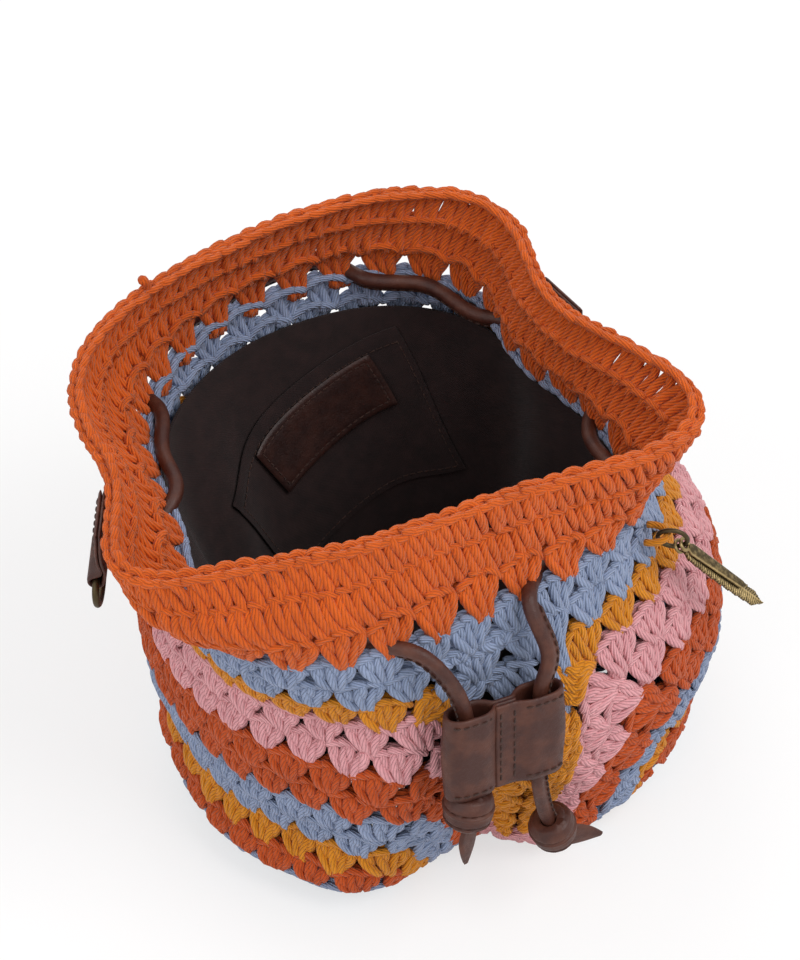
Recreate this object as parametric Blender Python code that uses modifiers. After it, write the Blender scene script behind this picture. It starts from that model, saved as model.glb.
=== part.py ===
"""Crocheted drawstring bag: striped cotton wall, lining, leather drawstring with slider, strap tabs, brass charms.

Metres, +Z up. The front, where the slider hangs, faces -Y and the bag's right side faces +X.
The origin lies on the ground, under the middle of the crocheted base.
"""
import math

import bmesh
import bpy
import numpy as np
from mathutils import Matrix, Vector

# Fabric
CLUSTERS = 38               # stitch clusters in one round
ROUND_PITCH = 0.012         # height of one crochet round
FABRIC = 0.0040             # thickness of the crocheted fabric
CLUSTER_RELIEF = 0.0012     # how far a cluster stands out of the fabric
CLUSTER_POINT = 0.28        # how far a cluster dips between its neighbours, in rounds
CLEAR = 0.0003              # gap between pieces that touch
SEAM_GAP = 0.0006           # gap between two yarn bands, measured up the wall
EYELET = 0.0022             # height of the small holes in an openwork seam

# Bag's form: half widths and half depths of the wall, at the foot, belly, neck and mouth
WALL_HEIGHT = 0.170
FOOT_HALF_WIDTH = 0.072
FOOT_HALF_DEPTH = 0.063
BELLY_HALF_WIDTH = 0.101
BELLY_HALF_DEPTH = 0.090
NECK_HALF_WIDTH = 0.075
NECK_HALF_DEPTH = 0.082
MOUTH_HALF_WIDTH = 0.089
MOUTH_HALF_DEPTH = 0.075
BELLY_SHIFT = 0.007         # the slumped belly leans to the right
MOUTH_SHIFT = -0.013        # and the mouth to the left
MOUTH_BACK = 0.010          # and back
GROUND = 0.0032             # height of the fabric's middle where it lies on the ground

# Slumped fold at the front
CREASE_TURN = -13.0         # direction of the crease, degrees from the front towards +X
CREASE_LEAN = 1.7           # degrees that the crease leans left for each round below the pink band
CREASE_DEPTH = 0.17         # depth of the crease, as a share of the bag's radius
SLUMP = 9.0                 # rounds by which the fabric right of the crease has sunk
CREASE_SPREAD = 11.0        # degrees over which the fabric sinks, to each side of the crease
CREASE_GAP = 6.5            # how many times wider the bands stand apart in the crease, where they run steeply
TUCK = 0.40                 # share of its length that sunk fabric keeps, gathered under the bag

# Base and lining
BASE_THICKNESS = 0.0045
LINING = 0.0010
LINING_TOP_ROUND = 11.7     # the lining is sewn to the wall at this round
LINING_FLOOR_Z = 0.028
LINING_FLOOR_HALF_WIDTH = 0.060
LINING_FLOOR_HALF_DEPTH = 0.055
LINING_FOLDS = 9
LINING_FOLD_DEPTH = 0.0016
POCKET_WIDTH = 0.092
POCKET_DEPTH = 0.058
POCKET_SHEET = 0.0008
SHEET_GAP = 0.0007          # gap under pocket and label, whose facets differ from the lining's
LABEL_WIDTH = 0.056
LABEL_HEIGHT = 0.022
LABEL_THICKNESS = 0.0014
LABEL_TURN = -22.0          # slant of pocket and label, degrees

# Drawstring and slider
CORD_DIAMETER = 0.0055
SLIDER_WIDTH = 0.044
SLIDER_HEIGHT = 0.033
SLIDER_LEATHER = 0.0016
CHANNEL_DEPTH = 0.0072      # clear depth of each channel, round the cord
SLIDER_SEAM = 0.008         # width of the stitched middle
SLIDER_CENTRE = Vector((-0.016, -0.0962, 0.0955))
SLIDER_TILT = 12.0          # degrees, top towards the bag
SLIDER_ROLL = 5.0           # degrees, right end down
KNOT_RADIUS = 0.0086
KNOT_HEIGHT = 0.0130
TAIL_LENGTH = 0.018
TAIL_WIDTH = 0.0085
TAIL_THICKNESS = 0.0018
LEAF_LENGTH = 0.017
LEAF_WIDTH = 0.0090

# Strap tabs, their rings, and the charms
TAB_WIDTH = 0.020
TAB_LEATHER = 0.0026
TAB_TOP_ROUND = 16.8
TAB_END_ROUND = 15.0
TAB_STANDOFF = 0.0065       # how far the stiff tab's end stands off the wall, clear of the drawstring
TAB_TURNS = {"left": -77.0, "right": 92.0}
TAB_GAPS = {"left": 0.0008, "right": 0.0020}    # the wall is hollow behind the right tab
RING_WIRE = 0.0024
RING_WIDTH = 0.027
RING_DROP = 0.014
CHARM_TURN = 43.0
CHARM_ROUND = 11.9
CHARM_RING_RADIUS = 0.0050
CHARM_RING_WIRE = 0.0016
CHARM_LOOP_YARN = 0.0026
CHARM_LOOP_BURIED = 0.24    # radians by which the yarn loop's ends reach into the stitches
CHARM_THICKNESS = 0.0018
FEATHER_LENGTH = 0.043
FEATHER_WIDTH = 0.0070
FEATHER_BARBS = 9
BAR_LENGTH = 0.030
BAR_WIDTH = 0.0042
YARN_END_TURN = -148.0
YARN = 0.0036

# Colours, linear RGB, with roughness and metallic value
ORANGE = ((0.580, 0.110, 0.012), 0.9, 0.0)
RUST = ((0.480, 0.070, 0.010), 0.9, 0.0)
BLUE = ((0.270, 0.340, 0.480), 0.9, 0.0)
MUSTARD = ((0.620, 0.210, 0.008), 0.9, 0.0)
PINK = ((0.680, 0.330, 0.370), 0.9, 0.0)
PLUM = ((0.024, 0.012, 0.013), 0.9, 0.0)
LEATHER = ((0.050, 0.022, 0.017), 0.5, 0.0)
BRASS = ((0.230, 0.160, 0.070), 0.4, 1.0)

# Yarn bands from the foot up: name, first round, last round, colour
BANDS = [
    ("foot_band_blue", 0, 2, BLUE),
    ("low_band_rust", 2, 3, RUST),
    ("low_band_mustard", 3, 4, MUSTARD),
    ("low_band_blue", 4, 6, BLUE),
    ("middle_band_rust", 6, 8, RUST),
    ("middle_band_pink", 8, 10, PINK),
    ("upper_band_mustard", 10, 11, MUSTARD),
    ("upper_band_blue", 11, 13, BLUE),
    ("rim_band_orange", 13, 17, ORANGE),
]
ROUNDS = BANDS[-1][2]
NECK_ROUND = BANDS[-1][1]
OPENWORK = (8, 11, 13)      # seams with a round of small holes
FIRST_CLOSE_ROUND = 14      # from here up the stitches stand side by side, without clusters

# Where the drawstring passes through the wall, degrees from the front towards +X
CROSSINGS = (-28.0, -66.0, -92.0, -128.0, 160.0, 116.0, 74.0, 11.0)

COLLECTION = bpy.data.collections.new("crocheted_drawstring_bag")


def clear_scene():
    """Remove every object that the file starts with."""
    for obj in list(bpy.data.objects):
        bpy.data.objects.remove(obj, do_unlink=True)
    bpy.context.scene.collection.children.link(COLLECTION)


def material(name, finish):
    """Make a Principled material from a colour, a roughness and a metallic value."""
    colour, roughness, metallic = finish
    mat = bpy.data.materials.new(name)
    mat.use_nodes = True
    shader = mat.node_tree.nodes["Principled BSDF"]
    shader.inputs["Base Color"].default_value = (*colour, 1.0)
    shader.inputs["Roughness"].default_value = roughness
    shader.inputs["Metallic"].default_value = metallic
    return mat


def finish_object(obj, name, finish, smooth=True):
    """Name an object, give it its material and put it in the bag's collection."""
    obj.name = name
    obj.data.name = name
    obj.data.materials.clear()
    obj.data.materials.append(material(name, finish))
    for collection in list(obj.users_collection):
        collection.objects.unlink(obj)
    COLLECTION.objects.link(obj)
    if smooth and obj.type == "MESH":
        obj.data.shade_smooth()
        obj.data.set_sharp_from_angle(angle=math.radians(40))
    return obj


def smooth_step(x, low, high):
    """Rise smoothly from 0 at low to 1 at high."""
    t = np.clip((x - low) / (high - low), 0.0, 1.0)
    return t * t * (3 - 2 * t)


def bump(degrees, centre, width):
    """A round bump of a direction: 1 at centre, falling off over width."""
    away = (degrees - centre + 180.0) % 360.0 - 180.0
    return np.exp(-(away / width) ** 2)


def through(x, stations, values):
    """Read a smooth curve through values at rising stations (cubic Hermite)."""
    slopes = np.gradient(values, stations)
    i = np.clip(np.searchsorted(stations, x) - 1, 0, len(stations) - 2)
    span = stations[i + 1] - stations[i]
    t = (x - stations[i]) / span
    ends = (2 * t**3 - 3 * t**2 + 1) * values[i] + (3 * t**2 - 2 * t**3) * values[i + 1]
    return ends + span * ((t**3 - 2 * t**2 + t) * slopes[i] + (t**3 - t**2) * slopes[i + 1])


def mix(a, b, share):
    """Go from a to b by a share."""
    return a + (b - a) * share


# The wall's outline by rounds: half width, half depth, middle's x and y, height
PROFILE_ROUNDS = np.array([0.0, 0.8, 2.0, 3.6, 5.5, 8.0, 10.5, 13.0, 15.0, 17.0])
PROFILE_HALF_WIDTH = np.array([
    FOOT_HALF_WIDTH,
    mix(FOOT_HALF_WIDTH, BELLY_HALF_WIDTH, 0.45),
    mix(FOOT_HALF_WIDTH, BELLY_HALF_WIDTH, 0.76),
    mix(FOOT_HALF_WIDTH, BELLY_HALF_WIDTH, 0.80),
    BELLY_HALF_WIDTH,
    mix(BELLY_HALF_WIDTH, NECK_HALF_WIDTH, 0.08),
    mix(BELLY_HALF_WIDTH, NECK_HALF_WIDTH, 0.46),
    NECK_HALF_WIDTH,
    mix(NECK_HALF_WIDTH, MOUTH_HALF_WIDTH, 0.43),
    MOUTH_HALF_WIDTH,
])
PROFILE_HALF_DEPTH = np.array([
    FOOT_HALF_DEPTH,
    mix(FOOT_HALF_DEPTH, BELLY_HALF_DEPTH, 0.48),
    mix(FOOT_HALF_DEPTH, BELLY_HALF_DEPTH, 0.80),
    mix(FOOT_HALF_DEPTH, BELLY_HALF_DEPTH, 0.82),
    BELLY_HALF_DEPTH,
    mix(BELLY_HALF_DEPTH, NECK_HALF_DEPTH, 0.12),
    mix(BELLY_HALF_DEPTH, NECK_HALF_DEPTH, 0.75),
    NECK_HALF_DEPTH,
    mix(NECK_HALF_DEPTH, MOUTH_HALF_DEPTH, 0.57),
    MOUTH_HALF_DEPTH,
])
PROFILE_SHIFT = mix(BELLY_SHIFT, MOUTH_SHIFT, np.array([0.05, 0.05, 0.05, 0.0, -0.05, 0.1, 0.4, 0.7, 0.95, 1.0]))
PROFILE_BACK = MOUTH_BACK * np.array([0.0, -0.1, -0.1, -0.1, 0.0, 0.0, 0.4, 1.0, 1.1, 1.0])
PROFILE_HEIGHT = GROUND + (WALL_HEIGHT - GROUND) * np.array(
    [0.0, 0.012, 0.066, 0.162, 0.288, 0.461, 0.629, 0.784, 0.898, 1.0])


def wall(turn, rounds):
    """Middle of the crocheted fabric.

    The outline is an oval that grows from the foot to the belly, closes at the neck and flares to a mouth with
    two ears. Right of the crease the rounds have sunk, so the lowest of them lie gathered under the bag.

    Args:
        turn: Direction in degrees, 0 at the front, growing towards +X.
        rounds: How many crochet rounds up from the base, 0 to ROUNDS.

    Returns:
        Points as an array whose last axis is x, y, z.
    """
    turn, rounds = np.broadcast_arrays(np.asarray(turn, float), np.asarray(rounds, float))
    side = (turn + 180.0) % 360.0 - 180.0
    crease = CREASE_TURN - CREASE_LEAN * np.clip(9 - rounds, 0, 9)
    reach = np.clip(28 + 11 * (10 - rounds), 28, 66)
    sunk = smooth_step(side, crease - CREASE_SPREAD, crease + CREASE_SPREAD)
    sunk = sunk * (1 - smooth_step(side, CREASE_TURN + 4, CREASE_TURN + reach))
    sunk = sunk * (1 - smooth_step(rounds, 10, 11.6))
    level = rounds - SLUMP * sunk
    on_wall = np.clip(level, 0, ROUNDS)
    tucked = TUCK * ROUND_PITCH * np.clip(-level, 0, None)
    half_width = through(on_wall, PROFILE_ROUNDS, PROFILE_HALF_WIDTH) - tucked
    half_depth = through(on_wall, PROFILE_ROUNDS, PROFILE_HALF_DEPTH) - tucked
    upper = smooth_step(rounds, 10, ROUNDS)
    flank = smooth_step(rounds, 9, 13)
    neck = smooth_step(rounds, 9, 12.5) * (1 - smooth_step(rounds, 14, ROUNDS))
    belly = (1 - smooth_step(rounds, 9, 12)) * smooth_step(rounds, 0, 3)
    low = 1 - smooth_step(rounds, 2, 4.5)
    squareness = 2.2 + 0.7 * smooth_step(rounds, 11, ROUNDS)
    angle = np.radians(turn)
    radius = (np.abs(np.sin(angle)) ** squareness + np.abs(np.cos(angle)) ** squareness) ** (-1 / squareness)
    radius = radius * (1 - CREASE_DEPTH * belly * bump(turn, crease + 3, 9))
    radius = radius * (1 + 0.05 * belly * bump(turn, crease - 15, 10))
    radius = radius * (1 + 0.05 * upper * bump(turn, -103, 22) - 0.12 * upper * bump(turn, 79, 17))
    radius = radius * (1 - 0.17 * flank * bump(turn, 102, 20) - 0.05 * upper * bump(turn, -150, 20))
    radius = radius * (1 + 0.24 * upper * bump(turn, -64, 15) + 0.21 * upper * bump(turn, 45, 17))
    radius = radius * (1 + 0.06 * low * bump(turn, -62, 35)) * (1 + 0.20 * neck * bump(turn, -48, 28))
    x = through(on_wall, PROFILE_ROUNDS, PROFILE_SHIFT) + half_width * radius * np.sin(angle)
    y = through(on_wall, PROFILE_ROUNDS, PROFILE_BACK) - half_depth * radius * np.cos(angle)
    z = through(on_wall, PROFILE_ROUNDS, PROFILE_HEIGHT)
    lift = 0.006 * bump(turn, -10, 40) + 0.004 * bump(turn, 170, 60)
    z = z + upper * (lift + 0.002 * bump(turn, 62, 25) - 0.002 * bump(turn, -66, 25))
    return np.stack([x, y, z], axis=-1)


def surface_normal(surface, a, b, step_a, step_b):
    """Unit normal of a surface of two parameters, from its two tangents."""
    along = surface(a + step_a, b) - surface(a - step_a, b)
    up = surface(a, b + step_b) - surface(a, b - step_b)
    normal = np.cross(along, up)
    return normal / np.linalg.norm(normal, axis=-1, keepdims=True)


def wall_normal(turn, rounds):
    """Outward unit normal of the fabric."""
    inner = np.clip(rounds, 0.05, ROUNDS - 0.05)
    return surface_normal(wall, np.asarray(turn, float), inner, 0.4, 0.05)


def off_wall(turn, rounds, distance):
    """Point at a distance outside the fabric's middle; negative distances lie inside the bag."""
    distance = np.asarray(distance, float)[..., None]
    return wall(turn, rounds) + distance * wall_normal(turn, rounds)


def mesh_object(name, vertices, faces, finish):
    """Make a mesh object from points and faces, with its faces turned outwards."""
    mesh = bpy.data.meshes.new(name)
    mesh.from_pydata([tuple(v) for v in np.asarray(vertices, float)], [], faces)
    shape = bmesh.new()
    shape.from_mesh(mesh)
    bmesh.ops.recalc_face_normals(shape, faces=shape.faces)
    shape.to_mesh(mesh)
    shape.free()
    obj = bpy.data.objects.new(name, mesh)
    COLLECTION.objects.link(obj)
    return finish_object(obj, name, finish)


def loft(name, rings, finish, ends="closed"):
    """Skin a stack of equal rings.

    The closing faces have their diagonals the other way round, so that the facing edges of two bands match.

    Args:
        name: Object's name.
        rings: Array of rings, points and coordinates.
        finish: Colour, roughness and metallic value.
        ends: "closed" joins the last ring to the first, "capped" closes both with a flat face.

    Returns:
        The mesh object.
    """
    count, size = rings.shape[:2]
    faces = []
    for r in range(count - 1):
        a, b = r * size, (r + 1) * size
        for i in range(size):
            j = (i + 1) % size
            faces += [(a + i, a + j, b + j), (a + i, b + j, b + i)]
    last = (count - 1) * size
    if ends == "closed":
        for i in range(size):
            j = (i + 1) % size
            faces += [(last + i, last + j, i), (last + j, j, i)]
    else:
        faces += [tuple(range(size))[::-1], tuple(range(last, last + size))]
    return mesh_object(name, rings.reshape(-1, 3), faces, finish)


def patch(name, outer, inner, finish):
    """Close a sheet that is given as two equal grids of points, one for each face."""
    rows, columns = outer.shape[:2]
    offset = rows * columns
    faces = []
    for r in range(rows - 1):
        for c in range(columns - 1):
            i = r * columns + c
            faces.append((i, i + 1, i + columns + 1, i + columns))
            faces.append(tuple(offset + k for k in (i, i + columns, i + columns + 1, i + 1)))
    rim = [c for c in range(columns)] + [r * columns + columns - 1 for r in range(1, rows)]
    rim += [(rows - 1) * columns + c for c in range(columns - 2, -1, -1)]
    rim += [r * columns for r in range(rows - 2, 0, -1)]
    for i, here in enumerate(rim):
        after = rim[(i + 1) % len(rim)]
        faces.append((here, here + offset, after + offset, after))
    return mesh_object(name, np.concatenate([outer.reshape(-1, 3), inner.reshape(-1, 3)]), faces, finish)


def tube(name, points, diameter, finish, cyclic=False, resolution=2):
    """Make a round cord or wire along points."""
    curve = bpy.data.curves.new(name, "CURVE")
    curve.dimensions = "3D"
    curve.bevel_depth = diameter / 2
    curve.bevel_resolution = resolution
    curve.use_fill_caps = not cyclic
    spline = curve.splines.new("POLY")
    spline.points.add(len(points) - 1)
    for target, point in zip(spline.points, points):
        target.co = (*point, 1.0)
    spline.use_cyclic_u = cyclic
    obj = bpy.data.objects.new(name, curve)
    COLLECTION.objects.link(obj)
    return finish_object(obj, name, finish)


def plate(name, outlines, thickness, frame, finish):
    """Extrude flat outlines, the first one outside and the others holes, about their own plane.

    Args:
        name: Object's name.
        outlines: Lists of (x, y) points.
        thickness: Extruded thickness, half to each side.
        frame: 4x4 matrix that places the plate.
        finish: Colour, roughness and metallic value.

    Returns:
        The mesh object.
    """
    curve = bpy.data.curves.new(name, "CURVE")
    curve.dimensions = "2D"
    curve.fill_mode = "BOTH"
    curve.extrude = thickness / 2
    for outline in outlines:
        spline = curve.splines.new("POLY")
        spline.points.add(len(outline) - 1)
        for target, (x, y) in zip(spline.points, outline):
            target.co = (x, y, 0.0, 1.0)
        spline.use_cyclic_u = True
    source = bpy.data.objects.new(name, curve)
    COLLECTION.objects.link(source)
    bpy.context.view_layer.update()
    mesh = bpy.data.meshes.new_from_object(source.evaluated_get(bpy.context.evaluated_depsgraph_get()))
    bpy.data.objects.remove(source, do_unlink=True)
    shape = bmesh.new()
    shape.from_mesh(mesh)
    bmesh.ops.remove_doubles(shape, verts=shape.verts, dist=0.00001)
    bmesh.ops.recalc_face_normals(shape, faces=shape.faces)
    shape.to_mesh(mesh)
    shape.free()
    obj = bpy.data.objects.new(name, mesh)
    COLLECTION.objects.link(obj)
    obj.matrix_world = frame
    return finish_object(obj, name, finish)


def arc(centre, radius, start, end, count):
    """Points of an arc in the plane, from a start to an end angle in degrees."""
    angles = np.radians(np.linspace(start, end, count))
    return [(centre[0] + radius * math.cos(a), centre[1] + radius * math.sin(a)) for a in angles]


def frame_from(origin, x_axis, y_axis):
    """Right-handed frame with the given x axis, its y axis near the given one."""
    x = Vector(x_axis).normalized()
    z = x.cross(Vector(y_axis)).normalized()
    y = z.cross(x)
    frame = Matrix((x, y, z)).transposed().to_4x4()
    frame.translation = Vector(origin)
    return frame


def smooth_route(points, spacing):
    """Read a smooth curve through hand-placed points at about equal steps."""
    points = np.array(points)
    steps = np.linalg.norm(np.diff(points, axis=0), axis=1)
    along = np.concatenate([[0.0], np.cumsum(np.sqrt(steps))])
    fine = np.linspace(0, along[-1], 1500)
    dense = np.stack([through(fine, along, points[:, k]) for k in range(3)], axis=-1)
    length = np.concatenate([[0.0], np.cumsum(np.linalg.norm(np.diff(dense, axis=0), axis=1))])
    stops = np.linspace(0, length[-1], int(round(length[-1] / spacing)) + 1)
    return np.stack([np.interp(stops, length, dense[:, k]) for k in range(3)], axis=-1)


COLUMNS = 2 * CLUSTERS
COLUMN_TURN = 360.0 / COLUMNS
COLUMN_TURNS = np.arange(COLUMNS) * COLUMN_TURN
PASS_HALF = (CORD_DIAMETER / 2 + 0.0009) / (ROUND_PITCH * 0.8)


def seam(level, side):
    """Height of a band's edge in rounds, at every column.

    Clusters dip to a point between those of the round below, so the seam runs in a zigzag. At openwork seams the
    two edges part at every second column, and wider where the drawstring passes.

    Args:
        level: The seam's round.
        side: +1 for the edge above the seam, -1 for the edge below it, 0 for a line inside a band.

    Returns:
        Rounds up from the base, one for each column.
    """
    column = np.arange(COLUMNS)
    points_down = (column + level) % 2 == 0
    zigzag = np.where(points_down, -CLUSTER_POINT, CLUSTER_POINT)
    if level == 0 or level >= FIRST_CLOSE_ROUND:
        zigzag = np.zeros(COLUMNS)
    crease = CREASE_TURN - CREASE_LEAN * max(9 - level, 0)
    steep = 1 + (CREASE_GAP - 1) * bump(COLUMN_TURNS, crease, 1.6 * CREASE_SPREAD) * (level < NECK_ROUND)
    apart = SEAM_GAP / 2 / ROUND_PITCH * steep
    if side and level in OPENWORK:
        apart = np.where(points_down, apart, EYELET / 2 / ROUND_PITCH)
    if side and level == NECK_ROUND:
        for crossing in CROSSINGS:
            away = np.abs((COLUMN_TURNS - crossing + 180) % 360 - 180) / COLUMN_TURN
            opening = np.clip(2.6 - away, 0, 1)
            apart = np.maximum(apart, opening * PASS_HALF)
            zigzag = zigzag * (1 - np.clip(3 - away, 0, 1))
    return level + zigzag + side * apart


def crochet_band(name, first, last, finish):
    """Make one yarn's band of rounds, a ring with a cluster relief outside and a plain inside."""
    outer, inner = [], []
    column = np.arange(COLUMNS)
    for level in range(first, last + 1):
        side = 1 if level == first else -1 if level == last else 0
        height = np.clip(seam(level, side), 0, ROUNDS)
        relief = 0.5 * CLUSTER_RELIEF if level < ROUNDS else 0.0
        outer.append(off_wall(COLUMN_TURNS, height, np.full(COLUMNS, FABRIC / 2 + relief)))
        if side or level % 2 == 1:
            inner.append(off_wall(COLUMN_TURNS, height, np.full(COLUMNS, -FABRIC / 2)))
        if level < last:
            middle = (height + np.clip(seam(level + 1, -1 if level + 1 == last else 0), 0, ROUNDS)) / 2
            raised = (column + level) % 2 == 0
            full, sunk = (1.4, 0.2) if level < FIRST_CLOSE_ROUND else (1.0, 0.7)
            relief = CLUSTER_RELIEF * np.where(raised, full, sunk)
            outer.append(off_wall(COLUMN_TURNS, middle, FABRIC / 2 + relief))
    rings = np.array(outer + inner[::-1])
    rings[..., 2] = np.maximum(rings[..., 2], CLEAR)
    return loft(name, rings, finish)


def crochet_base():
    """Make the flat base, which the foot band is worked on."""
    edge = wall(COLUMN_TURNS, 0.0)
    middle = edge.mean(axis=0)
    inset = 1 - 2 * SEAM_GAP / np.linalg.norm(edge - middle, axis=1, keepdims=True)
    rim = middle + (edge - middle) * inset
    rings = []
    for inward, height in ((0.0012, 0.0), (0.0, 0.0010), (0.0, BASE_THICKNESS - 0.0010), (0.0012, BASE_THICKNESS)):
        ring = middle + (rim - middle) * (1 - inward / FOOT_HALF_DEPTH)
        ring[:, 2] = height
        rings.append(ring)
    return loft("crochet_base", np.array(rings), BLUE, ends="capped")


def lining_surface(turn, share):
    """Middle of the lining's side, from the floor's edge (share 0) to its sewn top (share 1), with soft folds."""
    turn, share = np.broadcast_arrays(np.asarray(turn, float), np.asarray(share, float))
    inset = -(FABRIC / 2 + CLEAR + LINING / 2 + 0.0004)
    top = off_wall(turn, LINING_TOP_ROUND, np.full(turn.shape, inset))
    angle = np.radians(turn)
    floor = np.stack([
        BELLY_SHIFT / 2 + LINING_FLOOR_HALF_WIDTH * np.sin(angle),
        -LINING_FLOOR_HALF_DEPTH * np.cos(angle),
        np.full(turn.shape, LINING_FLOOR_Z),
    ], axis=-1)
    outwards = smooth_step(share, -0.15, 1.1)
    depth = LINING_FOLD_DEPTH * np.sin(math.pi * np.clip(share, 0, 1))
    fold = depth * np.sin(LINING_FOLDS * angle + 2.5 * share)
    point = floor + (top - floor) * np.stack([outwards, outwards, share], axis=-1)
    point[..., 0] += (fold - depth) * np.sin(angle)
    point[..., 1] -= (fold - depth) * np.cos(angle)
    return point


def off_lining(turn, share, distance):
    """Point at a distance inside the lining's middle."""
    normal = surface_normal(lining_surface, np.asarray(turn, float), np.asarray(share, float), 0.5, 0.01)
    return lining_surface(turn, share) - distance * normal


def make_lining():
    """Make the open lining bag: sides with soft folds, and a flat floor."""
    turns = np.arange(CLUSTERS + 2) * 360.0 / (CLUSTERS + 2)
    shares = np.linspace(0.0, 1.0, 6)
    outer = [off_lining(turns, s, -LINING / 2) for s in shares]
    inner = [off_lining(turns, s, LINING / 2) for s in shares]
    for ring in (outer[0], inner[0]):
        ring[:, 2] = ring[:, 2].mean()
    outer[0][:, 2] = LINING_FLOOR_Z - LINING / 2
    inner[0][:, 2] = LINING_FLOOR_Z + LINING / 2
    rings = np.array(outer + inner[::-1])
    return loft("lining", rings, PLUM, ends="capped")


def lining_patch(name, width, height, grid, near, far, finish, shift=(0.0, 0.0)):
    """Make a slanted rectangular sheet that follows the back of the lining between two distances from it."""
    slant = math.radians(LABEL_TURN)
    p, q = np.meshgrid(np.linspace(-0.5, 0.5, grid[0]) * width + shift[0],
                       np.linspace(-0.5, 0.5, grid[1]) * height + shift[1])
    across = p * math.cos(slant) - q * math.sin(slant)
    up = p * math.sin(slant) + q * math.cos(slant)
    radius = (LINING_FLOOR_HALF_DEPTH + NECK_HALF_DEPTH) / 2
    turn = 180.0 + np.degrees(across / radius)
    share = 0.60 + up / (WALL_HEIGHT * 0.58)
    return patch(name, off_lining(turn, share, near), off_lining(turn, share, far), finish)


def slider_frame():
    """Frame of the slider: x across it, y to the front, z up along the cords."""
    tilt = Matrix.Rotation(math.radians(-SLIDER_TILT), 4, "X")
    roll = Matrix.Rotation(math.radians(SLIDER_ROLL), 4, "Y")
    return Matrix.Translation(SLIDER_CENTRE) @ tilt @ roll


def channel_places():
    """Left and right channel: middle and clear half width, measured across the slider."""
    half = (SLIDER_WIDTH - SLIDER_SEAM) / 2
    inner = half / 2 - SLIDER_LEATHER
    shift = SLIDER_SEAM / 2 + half / 2
    return {"left": (-shift, inner), "right": (shift, inner)}


def make_slider():
    """Make the slider: one strip of leather wrapped round both cords, overlapped and stitched in the middle."""
    deep = CHANNEL_DEPTH / 2
    outer = []
    holes = []
    flat = SLIDER_LEATHER * 0.95
    for side, sign in (("left", -1), ("right", 1)):
        middle, half = channel_places()[side]
        corner = deep * 0.9
        hole = []
        for x_sign, y_sign, start in ((1, 1, 0), (-1, 1, 90), (-1, -1, 180), (1, -1, 270)):
            centre = (middle + x_sign * (half - corner), y_sign * (deep - corner))
            hole += arc(centre, corner, start, start + 90, 5)
        holes.append(hole)
    left, half = channel_places()["left"]
    right = channel_places()["right"][0]
    reach = half + SLIDER_LEATHER
    corner = deep + SLIDER_LEATHER
    lap = SLIDER_LEATHER * 0.8
    outer += arc((right + reach - corner, 0.0), corner, -90, 90, 9)
    outer += [(right - half * 0.4, corner), (SLIDER_SEAM / 2, flat + 0.0004), (-SLIDER_SEAM / 2, flat + 0.0004)]
    outer += [(left + half * 0.4, corner)]
    outer += arc((left - reach + corner, 0.0), corner, 90, 270, 9)
    outer += [(left + half * 0.4, -corner), (-SLIDER_SEAM / 2 - 0.0004, -flat - 0.0012)]
    outer += [(-SLIDER_SEAM / 2 + 0.0004, -flat - 0.0012 - lap), (SLIDER_SEAM / 2, -flat - 0.0010 - lap)]
    outer += [(right - half * 0.4, -corner)]
    return plate("leather_slider", [outer] + holes, SLIDER_HEIGHT, slider_frame(), LEATHER)


def in_slider(x, up):
    """World point of a place across the slider and along its cords."""
    return slider_frame() @ Vector((x, 0.0, up))


def make_knot(name, centre, along, radius, height):
    """Turn a wrapped leather knot round a cord: a barrel of two wraps with a bore for the cord."""
    bore = CORD_DIAMETER / 2 + CLEAR
    profile = [(bore, 0.5), (0.70 * radius, 0.5), (0.92 * radius, 0.40), (radius, 0.18), (0.94 * radius, 0.02),
               (radius, -0.16), (0.97 * radius, -0.36), (0.78 * radius, -0.5), (bore, -0.5)]
    mesh = bpy.data.meshes.new(name)
    count = len(profile)
    mesh.from_pydata([(r, 0.0, z * height) for r, z in profile], [(i, (i + 1) % count) for i in range(count)], [])
    obj = bpy.data.objects.new(name, mesh)
    COLLECTION.objects.link(obj)
    turn = obj.modifiers.new("turn", "SCREW")
    turn.steps = turn.render_steps = 12
    turn.angle = math.tau
    turn.use_merge_vertices = True
    turn.merge_threshold = 0.00001
    turn.use_normal_calculate = True
    obj.matrix_world = frame_from(centre, Vector(along).orthogonal(), Vector(along).cross(Vector(along).orthogonal()))
    return finish_object(obj, name, LEATHER)


KNOT_GAP = 0.0005
LEFT_X = channel_places()["left"][0]
RIGHT_X = channel_places()["right"][0]
LEFT_KNOT = in_slider(LEFT_X, -SLIDER_HEIGHT / 2 - KNOT_GAP - KNOT_HEIGHT / 2)
LEFT_DOWN = (in_slider(LEFT_X, -1.0) - in_slider(LEFT_X, 0.0)).normalized()
RIGHT_KNOT = Vector((0.0020, -0.1010, 0.0430))
RIGHT_DOWN = Vector((0.34, 0.02, -0.94)).normalized()


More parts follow.
